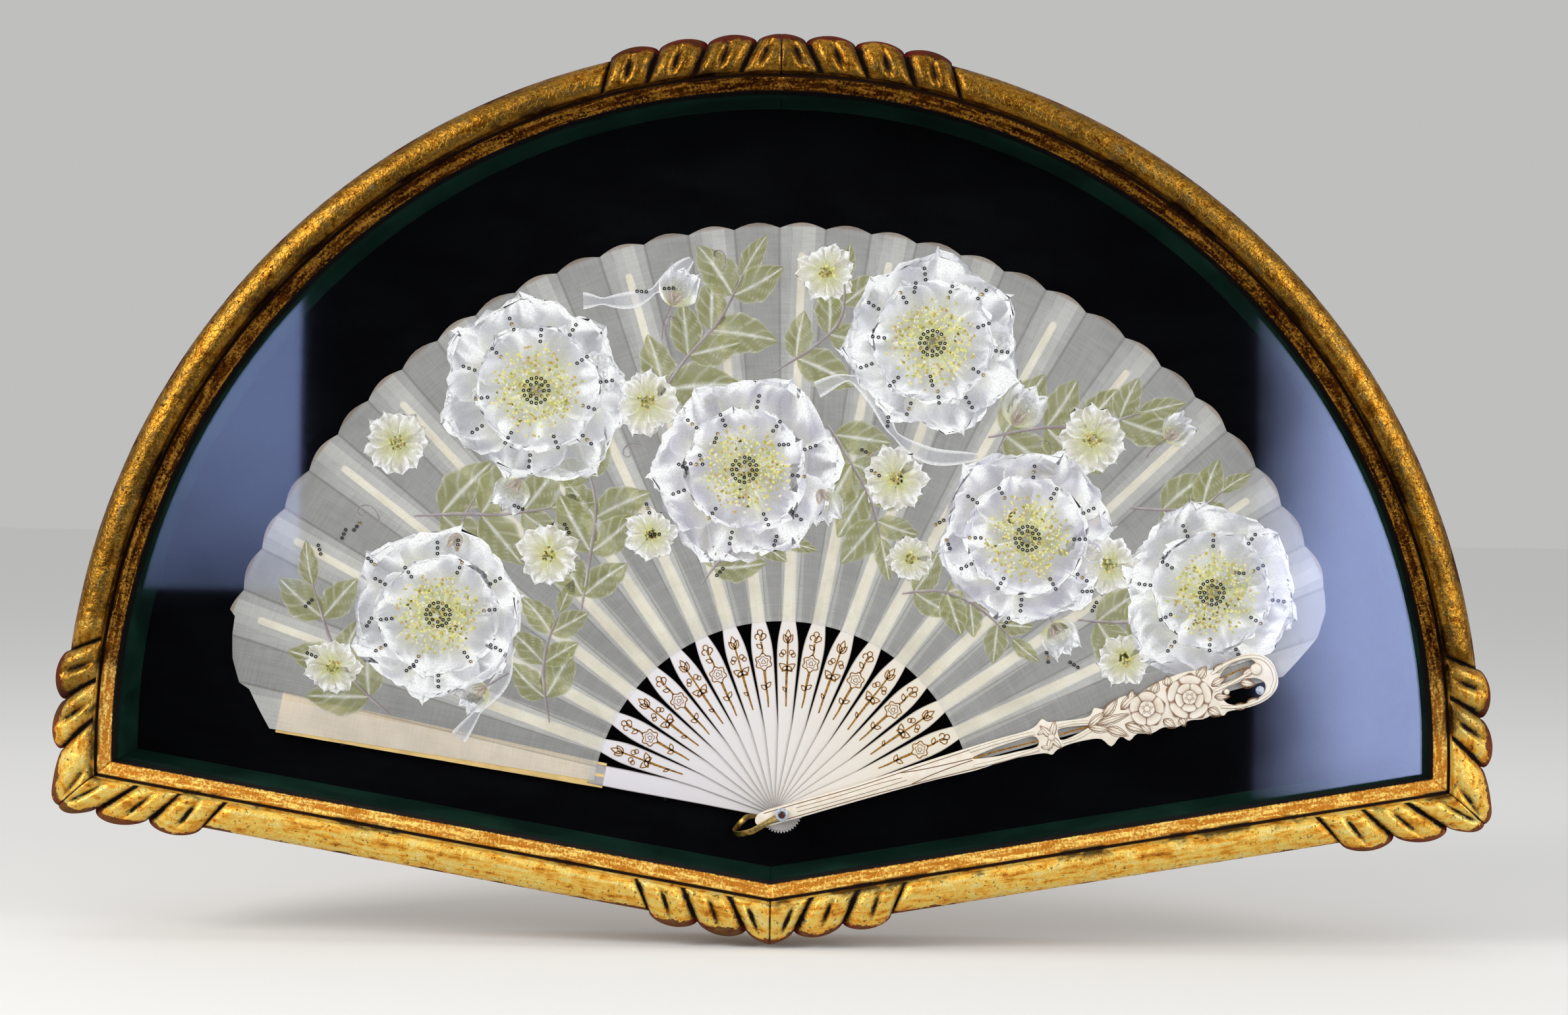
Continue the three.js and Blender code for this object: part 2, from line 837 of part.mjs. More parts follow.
// The carved guard: its outline and openings as shares of its length and half width
const guard_edge_shares = [
  [-0.0537, 0], [-0.0481, 0.2], [-0.0333, 0.29], [0, 0.31], [0.148, 0.3],
  [0.281, 0.41], [0.352, 0.46], [0.437, 0.5], [0.5, 0.49], [0.522, 0.58],
  [0.537, 0.76], [0.548, 0.58], [0.574, 0.48], [0.611, 0.37], [0.63, 0.4],
  [0.641, 0.62], [0.659, 0.47], [0.681, 0.66], [0.704, 0.74], [0.726, 0.62],
  [0.748, 0.76], [0.77, 0.88], [0.8, 0.95], [0.83, 0.98], [0.859, 0.9],
  [0.881, 0.78], [0.9, 0.9], [0.926, 0.98], [0.952, 1], [0.978, 0.86],
  [0.996, 0.5], [1, 0], [0.996, -0.44], [0.978, -0.76], [0.952, -0.92],
  [0.919, -0.94], [0.889, -0.88], [0.878, -0.99], [0.863, -0.83], [0.837, -0.9],
  [0.811, -0.81], [0.785, -0.92], [0.759, -0.79], [0.733, -0.89], [0.707, -0.75],
  [0.689, -0.92], [0.674, -0.68], [0.652, -0.94], [0.637, -0.57], [0.611, -0.46],
  [0.574, -0.43], [0.548, -0.51], [0.537, -0.63], [0.522, -0.49], [0.481, -0.4],
  [0.437, -0.37], [0.389, -0.41], [0.352, -0.38], [0.281, -0.32], [0.148, -0.3],
  [0, -0.3], [-0.0333, -0.28], [-0.0481, -0.2],
];
const guard_opening_shares = [
  [
    [0.385, 0.06], [0.43, 0.2], [0.481, 0.24], [0.511, 0.23], [0.519, 0],
    [0.511, -0.2], [0.474, -0.17], [0.43, -0.12],
  ],
  [
    [0.559, 0.02], [0.563, 0.22], [0.593, 0.17], [0.622, 0.02], [0.593, -0.16],
    [0.563, -0.21],
  ],
  [
    [0.893, 0.16], [0.904, 0.6], [0.93, 0.74], [0.948, 0.74], [0.956, 0.46],
    [0.926, 0.2],
  ],
  [
    [0.893, -0.1], [0.926, 0.02], [0.952, 0.02], [0.972, -0.24], [0.967, -0.52],
    [0.944, -0.68], [0.915, -0.7], [0.894, -0.5],
  ],
];

function guardPoints(shares) {
  return shares.map(
    ([reach_share, side_share]) =>
      new THREE.Vector2(guard_length * reach_share, guard_half * side_share),
  );
}

// A carved rose: tiers of wavy discs, each smaller and higher than the one below.
function roseSolid(rose) {
  let solid = null;
  rose.tiers.forEach((tier_share, level) => {
    const radius = rose.radius * tier_share;
    const outline = Array.from({ length: rose_points }, (_, k) => {
      const turn = (2 * Math.PI * k) / rose_points;
      const wave = 1 + rose_wave_share * Math.cos(rose_petals * turn + level);
      return new THREE.Vector2(
        rose.reach + radius * wave * Math.cos(turn),
        rose.side + radius * wave * Math.sin(turn),
      );
    });
    const height = front_guard_thickness / 2 + (rose_relief * (level + 1)) / rose.tiers.length;
    const back_y = front_guard_front_y + front_guard_thickness / 2;
    const tier = solidFrom(plate(new THREE.Shape(outline), back_y, height));
    solid = solid ? solid.add(tier) : tier;
  });
  return solid;
}

function frontGuard() {
  const back_y = front_guard_back_y;
  const outline = new THREE.Shape(guardPoints(guard_edge_shares));
  let guard = solidFrom(plate(outline, back_y, front_guard_thickness));
  for (const shares of guard_opening_shares) {
    const opening = new THREE.Shape(guardPoints(shares));
    const depth = front_guard_thickness + 2 * cut_overrun;
    guard = guard.subtract(solidFrom(plate(opening, back_y + cut_overrun, depth)));
  }
  const start_y = back_y + cut_overrun;
  const end_y = front_guard_front_y - cut_overrun;
  const bore = boreSolid(start_y, end_y);
  guard = guard.subtract(bore).add(roseSolid(big_rose)).add(roseSolid(small_rose));
  const socket = rodAlongY(stud_radius + joint_gap, end_y, start_y, bore_sides);
  guard = guard.subtract(solidFrom(socket.translate(stud_reach, 0, stud_side)));
  return geometryFrom(guard);
}

const front_guard_angle = rear_guard_angle - stick_angle * (stick_count + 1);
addPiece("front_guard", placeOnFan(frontGuard(), front_guard_angle), bone);

const stud_y = front_guard_back_y - front_guard_thickness / 2 - stud_thickness / 2;
addPiece(
  "guard_stud",
  placeOnFan(
    rodAlongY(stud_radius, stud_y, stud_y + stud_thickness, bore_sides).translate(
      stud_reach,
      0,
      stud_side,
    ),
    front_guard_angle,
  ),
  pearl,
);

// Rivet pin with two heads' worth of washers and the bail ring
const rear_head_y = rear_washer_back_y;
addPiece(
  "rivet_pin",
  turned(
    [
      [0, rivet_front_y - rivet_head_height],
      [rivet_head_radius, rivet_front_y - rivet_head_height],
      [rivet_head_radius, rivet_front_y],
      [rivet_radius, rivet_front_y],
      [rivet_radius, rear_head_y],
      [0, rear_head_y],
    ],
    bore_sides,
  ).translate(pivot_x, 0, pivot_z),
  brass,
);

function washer(back_y) {
  const front_y = back_y - washer_thickness;
  const disc = solidFrom(rodAlongY(washer_radius, back_y, front_y, bore_sides));
  const bore = boreSolid(back_y + cut_overrun, front_y - cut_overrun);
  return geometryFrom(disc.subtract(bore)).translate(pivot_x, 0, pivot_z);
}
addPiece("front_washer", washer(front_washer_back_y), pearl);
addPiece("rear_washer", washer(rear_washer_back_y), pearl);

// The bail: a flat strap bent into a U round the tails, with an eye at each end
function strapSolid(points) {
  const rings = points.map(([reach, side, y], i) => {
    const before = points[Math.max(0, i - 1)];
    const after = points[Math.min(points.length - 1, i + 1)];
    const along = new THREE.Vector3(after[0] - before[0], after[2] - before[2], 0);
    along.normalize();
    const thin = new THREE.Vector3(-along.y, along.x, 0);
    const centre = new THREE.Vector3(reach, y, side);
    const half = ring_strap_thickness / 2;
    return [
      [half, ring_strap_half],
      [half, -ring_strap_half],
      [-half, -ring_strap_half],
      [-half, ring_strap_half],
    ].map(([t, w]) => {
      const corner = centre.clone().addScaledVector(thin, t);
      corner.z += w;
      return corner;
    });
  });
  const section = [
    [1, 1],
    [1, -1],
    [-1, -1],
    [-1, 1],
  ].map(([a, b]) => new THREE.Vector2(a, b));
  return solidFrom(ringBody(rings, section));
}

function bailRing() {
  const front_y = front_eye_back_y - ring_strap_thickness / 2;
  const rear_y = rear_eye_back_y - ring_strap_thickness / 2;
  const depth = rear_y - front_y;
  const start = (ring_eye_radius + bore_radius) / 2;
  const leg = ring_reach * ring_leg_share;
  const points = [[start, 0, front_y], [leg, 0, front_y]];
  for (const turn_share of ring_bow_shares) {
    const turn = Math.PI * turn_share;
    points.push([
      leg + (ring_reach - leg) * Math.sin(turn),
      -ring_side * turn_share,
      front_y + (depth * (1 - Math.cos(turn))) / 2,
    ]);
  }
  points.push([leg, -ring_side, rear_y]);
  points.push([start, 0, rear_y]);
  let solid = strapSolid(points);
  for (const y of [front_y, rear_y]) {
    const half = ring_strap_thickness / 2 + ring_eye_swell;
    solid = solid.add(solidFrom(rodAlongY(ring_eye_radius, y - half, y + half, bore_sides)));
  }
  return geometryFrom(solid.subtract(boreSolid(front_y - cut_overrun, rear_y + cut_overrun)));
}
addPiece("bail_ring", placeOnFan(bailRing(), ring_angle), brass);

// The leaf: one face lies on each rib, the next climbs to the rib in front, so that
// folds run on both sides of every rib and the rim has a scallop on every face
function ribHalfAngle(reach) {
  const share = (reach - rib_root_reach) / (rib_tip_reach - rib_root_reach);
  const half = rib_root_half + (rib_tip_half - rib_root_half) * Math.max(0, share);
  return Math.asin((half + rib_margin) / reach) / degree;
}

const fold_angle = stick_angle / 4;

// Back of the leaf on the face of guard or stick i
function leafBackY(i) {
  if (i > stick_count) return last_stick_front_y - 2 * leaf_clearance;
  return rear_guard_front_y - leaf_clearance - stick_pitch * i;
}

// The rim drops to the guards at both ends, in the tables, and is scalloped between
function rimReach(place, count, offset) {
  if (place < leaf_left_reaches.length) return leaf_left_reaches[place];
  const from_end = count - leaf_right_reaches.length;
  if (place >= from_end) return leaf_right_reaches[place - from_end];
  const on_face = ((offset + fold_angle) / (2 * fold_angle)) % 1;
  return leaf_outer_reach + scallop_rise * Math.sin(Math.PI * on_face);
}

function leafStations() {
  const last = stick_count + 1;
  const stations = [{ i: 0, offset: () => -leaf_left_half, relief: 0 }];
  for (let i = 0; i <= stick_count; i += 1) {
    stations.push({ i, offset: () => 0, relief: 0 });
    if (i > 0) stations.push({ i, offset: (reach) => ribHalfAngle(reach), relief: 0 });
    stations.push({ i, offset: () => fold_angle, relief: i === 0 ? 0 : 1 });
    stations.push({ i, offset: () => 2 * fold_angle, relief: null });
    const next = i + 1 === last ? 0 : -1;
    stations.push({ i: i + 1, offset: () => -fold_angle, relief: next });
    if (i < stick_count) {
      stations.push({ i: i + 1, offset: (reach) => -ribHalfAngle(reach), relief: 0 });
    }
  }
  stations.push({ i: last, offset: () => -leaf_right_angle, relief: 0 });
  const under_guard = (reach) => Math.asin(-leaf_right_side / reach) / degree;
  stations.push({ i: last, offset: under_guard, relief: 0 });
  stations.forEach((station, place) => {
    const offset = station.offset(leaf_outer_reach);
    station.rim = rimReach(place, stations.length, offset);
  });
  return stations;
}

function leafPoint(station, row_share, front) {
  const reach = leaf_inner_reach + (station.rim - leaf_inner_reach) * row_share;
  const offset = station.offset(reach);
  const angle = rear_guard_angle - stick_angle * station.i - offset;
  const swing = pleat_relief * Math.min(1, reach / leaf_outer_reach);
  let y;
  if (station.relief === null) {
    const from = leafBackY(station.i) + (station.i > 0 ? swing : 0);
    const to = leafBackY(station.i + 1) - (station.i < stick_count ? swing : 0);
    y = (from + to) / 2;
  } else {
    y = leafBackY(station.i) + swing * station.relief;
  }
  const [x, z] = fanPoint(angle, reach);
  return new THREE.Vector3(x, front ? y - leaf_thickness : y, z);
}

function leafGeometry() {
  const stations = leafStations();
  const rows = leaf_row_shares.length;
  const points = [];
  for (const front of [false, true]) {
    for (const station of stations) {
      for (const row_share of leaf_row_shares) points.push(leafPoint(station, row_share, front));
    }
  }
  const at = (front, s, k) => (front * stations.length + s) * rows + k;
  const triangles = [];
  const quad = (a, b, c, d) => triangles.push([a, b, c], [a, c, d]);
  for (let s = 0; s + 1 < stations.length; s += 1) {
    for (let k = 0; k + 1 < rows; k += 1) {
      quad(at(0, s, k), at(0, s, k + 1), at(0, s + 1, k + 1), at(0, s + 1, k));
      quad(at(1, s, k), at(1, s + 1, k), at(1, s + 1, k + 1), at(1, s, k + 1));
    }
    quad(at(0, s, 0), at(0, s + 1, 0), at(1, s + 1, 0), at(1, s, 0));
    const rim = rows - 1;
    quad(at(0, s, rim), at(1, s, rim), at(1, s + 1, rim), at(0, s + 1, rim));
  }
  const end = stations.length - 1;
  for (let k = 0; k + 1 < rows; k += 1) {
    quad(at(0, 0, k), at(1, 0, k), at(1, 0, k + 1), at(0, 0, k + 1));
    quad(at(0, end, k), at(0, end, k + 1), at(1, end, k + 1), at(1, end, k));
  }
  return closedGeometry(points, triangles);
}
addPiece("leaf", leafGeometry(), gauze);

// Three black pins in the board carry the fan: two under the rear guard, one under
// the front guard
function halfAt(edge, reach) {
  for (let k = 1; k < edge.length; k += 1) {
    const [[r0, h0], [r1, h1]] = [edge[k - 1], edge[k]];
    if (reach <= r1 && r1 > r0) return h0 + ((h1 - h0) * (reach - r0)) / (r1 - r0);
  }
  return edge[edge.length - 1][1];
}

const pin_places = rear_pin_reaches.map((reach) => {
  const side = halfAt(rear_guard_edge, reach) + pin_radius + joint_gap;
  return { at: fanPoint(rear_guard_angle, reach, side), to_y: rear_guard_front_y };
});
pin_places.push({
  at: fanPoint(front_guard_angle, front_pin_reach, front_pin_side - pin_radius - joint_gap),
  to_y: front_guard_front_y,
});

pin_places.forEach(({ at: [x, z], to_y }, i) => {
  const pin = rodAlongY(pin_radius, board_front_y + pin_embed, to_y, pin_sides);
  addPiece(`support_pin_${i + 1}`, pin.translate(x, 0, z), black_pin);
});

addPiece(
  "mount_board",
  cutHoles(
    plate(
      new THREE.Shape(outlinePoints(wall_inset - joint_gap)),
      board_back_y,
      board_thickness,
    ),
    pin_places.map(({ at }) => at),
    pin_radius + joint_gap,
    board_front_y - cut_overrun,
    board_front_y + pin_embed + joint_gap,
  ),
  velvet_black,
);

export default group;
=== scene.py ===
import random
from collections import namedtuple
from math import asin, atan2, cos, degrees, exp, hypot, pi, radians, sin, sqrt

import bmesh
import bpy
from mathutils import Matrix, Vector, noise


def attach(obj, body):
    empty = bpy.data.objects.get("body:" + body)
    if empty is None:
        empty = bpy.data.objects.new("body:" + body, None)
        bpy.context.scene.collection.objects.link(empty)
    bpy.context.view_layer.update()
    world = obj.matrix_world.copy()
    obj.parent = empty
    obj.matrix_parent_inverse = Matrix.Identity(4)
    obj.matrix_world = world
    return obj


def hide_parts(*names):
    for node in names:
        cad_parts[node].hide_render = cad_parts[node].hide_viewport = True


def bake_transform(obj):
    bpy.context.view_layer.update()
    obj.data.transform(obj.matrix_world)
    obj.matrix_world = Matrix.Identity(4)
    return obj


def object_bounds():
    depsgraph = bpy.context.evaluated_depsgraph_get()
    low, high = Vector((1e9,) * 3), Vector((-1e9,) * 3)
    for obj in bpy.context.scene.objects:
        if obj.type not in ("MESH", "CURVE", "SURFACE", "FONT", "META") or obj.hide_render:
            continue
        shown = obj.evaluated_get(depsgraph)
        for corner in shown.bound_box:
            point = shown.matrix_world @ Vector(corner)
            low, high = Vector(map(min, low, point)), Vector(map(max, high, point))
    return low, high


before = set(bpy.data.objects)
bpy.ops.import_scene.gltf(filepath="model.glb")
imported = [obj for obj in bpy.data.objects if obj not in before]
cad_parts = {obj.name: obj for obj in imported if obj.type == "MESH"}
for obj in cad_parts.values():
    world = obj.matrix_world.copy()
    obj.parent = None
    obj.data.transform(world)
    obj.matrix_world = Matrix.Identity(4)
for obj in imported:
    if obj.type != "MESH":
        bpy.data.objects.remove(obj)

cad_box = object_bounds()
scene = bpy.context.scene

# Sizes are in millimetres, as in the part's source. X runs right, Y into the wall, Z up, and
# the origin lies midway between the hangers.
MM = 0.001
ARCH_Z = -150.0

# Sight line of the frame
SIGHT_RADIUS = 341.0
JAMB_DROP = 9.6
VEE_DROP = 58.9
SEAM_ANGLE = 31.3
JOINT_GAP = 0.04
RAIL_LENGTH = hypot(SIGHT_RADIUS, VEE_DROP)
RAIL_COS = SIGHT_RADIUS / RAIL_LENGTH
RAIL_SIN = VEE_DROP / RAIL_LENGTH
CORNER_SKEW = (1 - RAIL_SIN) / RAIL_COS
APEX_SKEW = RAIL_SIN / RAIL_COS

# Moulding section, outwards from the sight line and forwards from the wall
MOULDING_WIDTH = 25.5
MOULDING_FRONT = 64.0
BAND_FRONT = 60.6
ROLL_FROM = 10.0
ROLL_WIDTH = MOULDING_WIDTH - ROLL_FROM
ROLL_BACK = 56.5
ROLL_DEEPEST = -50.0
ROLL_POINTS = 30
LOBE_CUT = 5.4
LOBE_STEPS = 40
LOBE_END = 7.0
STATION_STEP = 2.2
CORNER_ROUND = 4.2
CORNER_ROUND_RUN = 11.0
MITRE_CUT = 0.8
MITRE_CUT_RUN = 1.2

# Width, depth and hollow of the sight edge, its band and the groove
BAND_SECTION = (
    (0.0, -46.3, 0.6), (0.0, -52.0, 0.6), (0.0, -57.6, 0.4), (0.35, -58.2, 0.1),
    (1.6, -58.75, 0.1), (3.4, -59.2, 0.1), (5.4, -60.1, 0.0), (6.5, -60.55, 0.0),
    (6.95, -60.6, 0.0), (7.3, -60.2, 0.3), (7.8, -58.95, 0.8), (8.3, -58.8, 1.0),
    (8.9, -58.8, 1.0), (9.3, -59.3, 0.3), (9.6, -59.9, 0.0), (9.9, -60.4, 0.0),
)
# Width, depth, hollow and width on the map of the outer edge and of the back
BACK_SECTION = [
    (MOULDING_WIDTH, ROLL_DEEPEST, 0.5, 27.0), (MOULDING_WIDTH, -44.0, 0.8, 27.0),
    (4.6, -44.0, 1.0, 0.2), (4.6, -46.3, 1.0, 0.1), (0.0, -46.3, 1.0, 0.0),
]

# Runs of carved lobes: length of the first, pitch and count of the rest, rise of their edge,
# depth of the gouge, lean of the flutes and where the gouge splits the first lobe
Lobes = namedtuple("Lobes", "first pitch count rise gouge lean split")
CROWN = Lobes(first=12.7, pitch=25.5, count=3, rise=4.6, gouge=3.0, lean=9.0, split=0.67)
JAMB = Lobes(first=27.0, pitch=24.0, count=2, rise=6.6, gouge=3.2, lean=9.0, split=0.5)
RAIL = Lobes(first=18.0, pitch=27.5, count=2, rise=6.6, gouge=3.2, lean=11.0, split=0.5)
APEX = Lobes(first=12.5, pitch=25.5, count=2, rise=5.8, gouge=3.0, lean=10.0, split=0.67)

# Fan
PIVOT_X = 5.4
PIVOT_Z = -185.0
STICK_COUNT = 16
REAR_ANGLE = 169.7
STICK_ANGLE = 9.0
FRONT_ANGLE = REAR_ANGLE - STICK_ANGLE * (STICK_COUNT + 1)
REAR_GUARD_BACK = -14.7
REAR_GUARD_THICKNESS = 2.2
FIRST_STICK_BACK = -17.2
STICK_THICKNESS = 0.7
STICK_PITCH = 1.0
FRONT_GUARD_BACK = -33.5
FRONT_GUARD_THICKNESS = 2.6
GUARD_LENGTH = 270.0
GUARD_HALF = 14.0
GUARD_FRONT = FRONT_GUARD_BACK - FRONT_GUARD_THICKNESS

# Leaf
LEAF_INNER = 101.0
LEAF_OUTER = 308.6
SCALLOP_RISE = 3.0
FOLD_ANGLE = STICK_ANGLE / 4
PLEAT_RELIEF = 0.7
LEAF_THICKNESS = 0.2
LEAF_ROWS = 46
PAINT_LIFT = 0.03

BODIES = ["case"] + [f"stick_{i:02d}_body" for i in range(1, STICK_COUNT + 1)]
BODIES.append("front_guard_body")


def tone(red, green, blue):
    """A colour of the eye's scale of 255 as the linear colour that a shader takes."""
    linear = []
    for part in (red, green, blue):
        share = part / 255
        linear.append(share / 12.92 if share < 0.04045 else ((share + 0.055) / 1.055) ** 2.4)
    return (*linear, 1.0)


def blend_of(low, high, share):
    return low + (high - low) * share


def clamp(share):
    return min(1.0, max(0.0, share))


def ease(share):
    share = clamp(share)
    return share * share * (3 - 2 * share)


def table(points, place):
    """The value of a table at a place, on straight lines between its points."""
    for (from_place, from_value), (to_place, to_value) in zip(points, points[1:]):
        if place <= to_place:
            share = clamp((place - from_place) / (to_place - from_place))
            return blend_of(from_value, to_value, share)
    return points[-1][1]


def curve_through(points, steps):
    """A smooth run through a few points, for stems, outlines and straps."""
    last = len(points) - 1
    run = []
    for k in range(last):
        a, b = Vector(points[max(0, k - 1)]), Vector(points[k])
        c, d = Vector(points[k + 1]), Vector(points[min(last, k + 2)])
        for step in range(steps):
            t = step / steps
            run.append(
                0.5 * (2 * b + (c - a) * t + (2 * a - 5 * b + 4 * c - d) * t * t
                       + (3 * b - a - 3 * c + d) * t * t * t)
            )
    run.append(Vector(points[last]))
    return run


def beside_line(x, z, direction, along, off):
    """The place along a line that leaves (x, z) in a direction, and off to its left."""
    c, s = cos(direction), sin(direction)
    return x + along * c - off * s, z + along * s + off * c


def beside_run(run, k, off):
    """The place off to the left of a run at its point k."""
    before, after = run[max(0, k - 1)], run[min(len(run) - 1, k + 1)]
    along = Vector((after[0] - before[0], after[1] - before[1])).normalized()
    return run[k][0] - along.y * off, run[k][1] + along.x * off


def toward(direction):
    return Vector((cos(direction), sin(direction)))


def fan_point(angle, reach, side=0.0):
    return beside_line(PIVOT_X, PIVOT_Z, radians(angle), reach, side)


def shaped_grid(bm, columns, rows, place):
    """A grid of faces laid out by place(column share, row share), with its map and its marks.

    place gives a point and, where the piece has them, how hollow it is or its paint."""
    made = bmesh.ops.create_grid(bm, x_segments=columns, y_segments=rows, size=0.5)
    hollow = bm.verts.layers.float.get("hollow")
    paint = bm.verts.layers.float_color.get("paint")
    wear_map = bm.loops.layers.uv.get("wear_map")
    shares = {}
    for vert in made["verts"]:
        shares[vert] = (vert.co.x + 0.5, vert.co.y + 0.5)
    for vert, (u, v) in shares.items():
        point, mark, place_on_map = place(u, v)
        vert.co = point
        if hollow is not None and mark is not None:
            vert[hollow] = mark
        if paint is not None and mark is not None:
            vert[paint] = mark
        if wear_map is not None and place_on_map is not None:
            for loop in vert.link_loops:
                loop[wear_map].uv = place_on_map
    return made["verts"]


def new_shape(mark=None, mapped=False):
    """An empty shape, with room for how hollow it is or for its paint, and for its map."""
    bm = bmesh.new()
    if mark == "hollow":
        bm.verts.layers.float.new("hollow")
    if mark == "paint":
        bm.verts.layers.float_color.new("paint")
    if mapped:
        bm.loops.layers.uv.new("wear_map")
    return bm


def lifted_side(bm, faces):
    """Draws faces out into a solid, and gives the verts of the drawn side."""
    lifted = bmesh.ops.extrude_face_region(bm, geom=faces, use_keep_orig=True)
    return [item for item in lifted["geom"] if isinstance(item, bmesh.types.BMVert)]


def sharp_edges(bm):
    return [edge for edge in bm.edges if edge.calc_face_angle(0.0) > radians(60)]


def rounded(bm, edges, offset):
    bmesh.ops.bevel(
        bm, geom=edges, offset=offset, segments=2, profile=0.5, affect="EDGES", material=-1
    )


def seam_merged(bm):
    bmesh.ops.remove_doubles(bm, verts=bm.verts, dist=0.001)


def ends_closed(bm):
    """Merges the seam of a rolled-up grid and fills its open ends."""
    seam_merged(bm)
    ends = [edge for edge in bm.edges if edge.is_boundary]
    bmesh.ops.holes_fill(bm, edges=ends, sides=0)


def linked(name, bm, material):
    """The Blender piece of a shape, in metres."""
    mesh = bpy.data.meshes.new(name)
    bm.to_mesh(mesh)
    bm.free()
    mesh.materials.append(material)
    piece = bpy.data.objects.new(name, mesh)
    scene.collection.objects.link(piece)
    return piece


def finished(bm, name, material, crease=35.0, recalculated=True):
    """The Blender piece of a shape in millimetres, smooth but for edges over the crease."""
    if recalculated:
        bmesh.ops.recalc_face_normals(bm, faces=bm.faces)
    for face in bm.faces:
        face.smooth = True
    for edge in bm.edges:
        edge.smooth = edge.calc_face_angle(0.0) < radians(crease)
    bmesh.ops.scale(bm, vec=(MM, MM, MM), verts=bm.verts)
    return linked(name, bm, material)


def stands_for(piece, body, slot, *nodes):
    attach(piece, body)
    if nodes:
        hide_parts(*nodes)


def fan_piece(bm, angle, name, material, body, slot, *nodes, crease=35.0):
    """A piece that is shaped along the fan's own axis and then turned about the rivet."""
    turn = Matrix.Rotation(radians(-angle), 4, "Y")
    place = Matrix.Translation((PIVOT_X, 0, PIVOT_Z)) @ turn
    bmesh.ops.transform(bm, matrix=place, verts=bm.verts)
    stands_for(finished(bm, name, material, crease), body, slot, *nodes)


# Finishes


class Value:
    """An output socket that can stand in a sum."""

    def __init__(self, finish, socket):
        self.finish = finish
        self.socket = socket

    def math(self, operation, first, second):
        return self.finish.node("ShaderNodeMath", {"operation": operation}, {0: first, 1: second})

    def __add__(self, other):
        return self.math("ADD", self, other)

    def __sub__(self, other):
        return self.math("SUBTRACT", self, other)

    def __rsub__(self, other):
        return self.math("SUBTRACT", other, self)

    def __mul__(self, other):
        return self.math("MULTIPLY", self, other)

    def __pow__(self, other):
        return self.math("POWER", self, other)

    __radd__ = __add__
    __rmul__ = __mul__


class Finish:
    """The nodes of a material, or of the room, under construction."""

    def __init__(self, name, kind="materials"):
        self.made = getattr(bpy.data, kind).new(name)
        self.made.use_nodes = True
        self.tree = self.made.node_tree
        self.tree.nodes.clear()

    def node(self, kind, settings=None, inputs=None, output=0):
        made = self.tree.nodes.new(kind)
        for name, value in (settings or {}).items():
            if name == "stops":
                elements = made.color_ramp.elements
                while len(elements) < len(value):
                    elements.new(0.5)
                for element, (position, colour) in zip(elements, value):
                    element.position = position
                    element.color = colour
            else:
                setattr(made, name, value)
        for key, value in (inputs or {}).items():
            if isinstance(value, Value):
                self.tree.links.new(value.socket, made.inputs[key])
            else:
                made.inputs[key].default_value = value
        return Value(self, made.outputs[output])

    def place(self):
        """Where a point lies, in millimetres."""
        here = self.node("ShaderNodeTexCoord", output="Object")
        return self.node("ShaderNodeVectorMath", {"operation": "SCALE"}, {0: here, "Scale": 1000.0})

    def map(self):
        return self.node("ShaderNodeUVMap", {"uv_map": "wear_map"})

    def part(self, vector, axis):
        return self.node("ShaderNodeSeparateXYZ", inputs={0: vector}, output=axis)

    def vector(self, x, y):
        return self.node("ShaderNodeCombineXYZ", inputs={0: x, 1: y})

    def stretched(self, vector, scale):
        return self.node("ShaderNodeMapping", inputs={"Vector": vector, "Scale": scale})

    def mark(self, name, output="Fac"):
        return self.node("ShaderNodeAttribute", {"attribute_name": name}, output=output)

    def noise(self, vector, scale, detail=3.0, roughness=0.55, distortion=0.0):
        inputs = {"Vector": vector, "Scale": scale, "Detail": detail}
        inputs.update({"Roughness": roughness, "Distortion": distortion})
        return self.node("ShaderNodeTexNoise", inputs=inputs, output="Fac")

    def cell_edges(self, vector, scale):
        """The distance from the edges of a net of cells."""
        inputs = {"Vector": vector, "Scale": scale}
        settings = {"feature": "DISTANCE_TO_EDGE"}
        return self.node("ShaderNodeTexVoronoi", settings, inputs, "Distance")

    def waves(self, value):
        return self.node("ShaderNodeMath", {"operation": "SINE"}, {0: value})

    def step(self, value, low, high):
        inputs = {"Value": value, "From Min": low, "From Max": high}
        settings = {"interpolation_type": "SMOOTHSTEP", "clamp": True}
        return self.node("ShaderNodeMapRange", settings, inputs)

    def tones(self, value, *stops):
        return self.node("ShaderNodeValToRGB", {"stops": stops}, {0: value})

    def mixed(self, share, first, second):
        settings = {"data_type": "RGBA", "clamp_factor": True}
        return self.node("ShaderNodeMix", settings, {0: share, 6: first, 7: second}, 2)

    def layered(self, colour, *layers):
        """A colour under layers, each with the share that it covers."""
        for share, layer in layers:
            colour = self.mixed(share, colour, layer)
        return colour

    def bump(self, height, strength, distance):
        inputs = {"Height": height, "Strength": strength, "Distance": distance}
        return self.node("ShaderNodeBump", inputs=inputs)

    def shown(self, shader, output="ShaderNodeOutputMaterial"):
        end = self.tree.nodes.new(output)
        self.tree.links.new(shader.socket, end.inputs["Surface"])
        return self.made

    def surface(self, **sockets):
        inputs = {name.replace("_", " "): value for name, value in sockets.items()}
        return self.shown(self.node("ShaderNodeBsdfPrincipled", inputs=inputs))


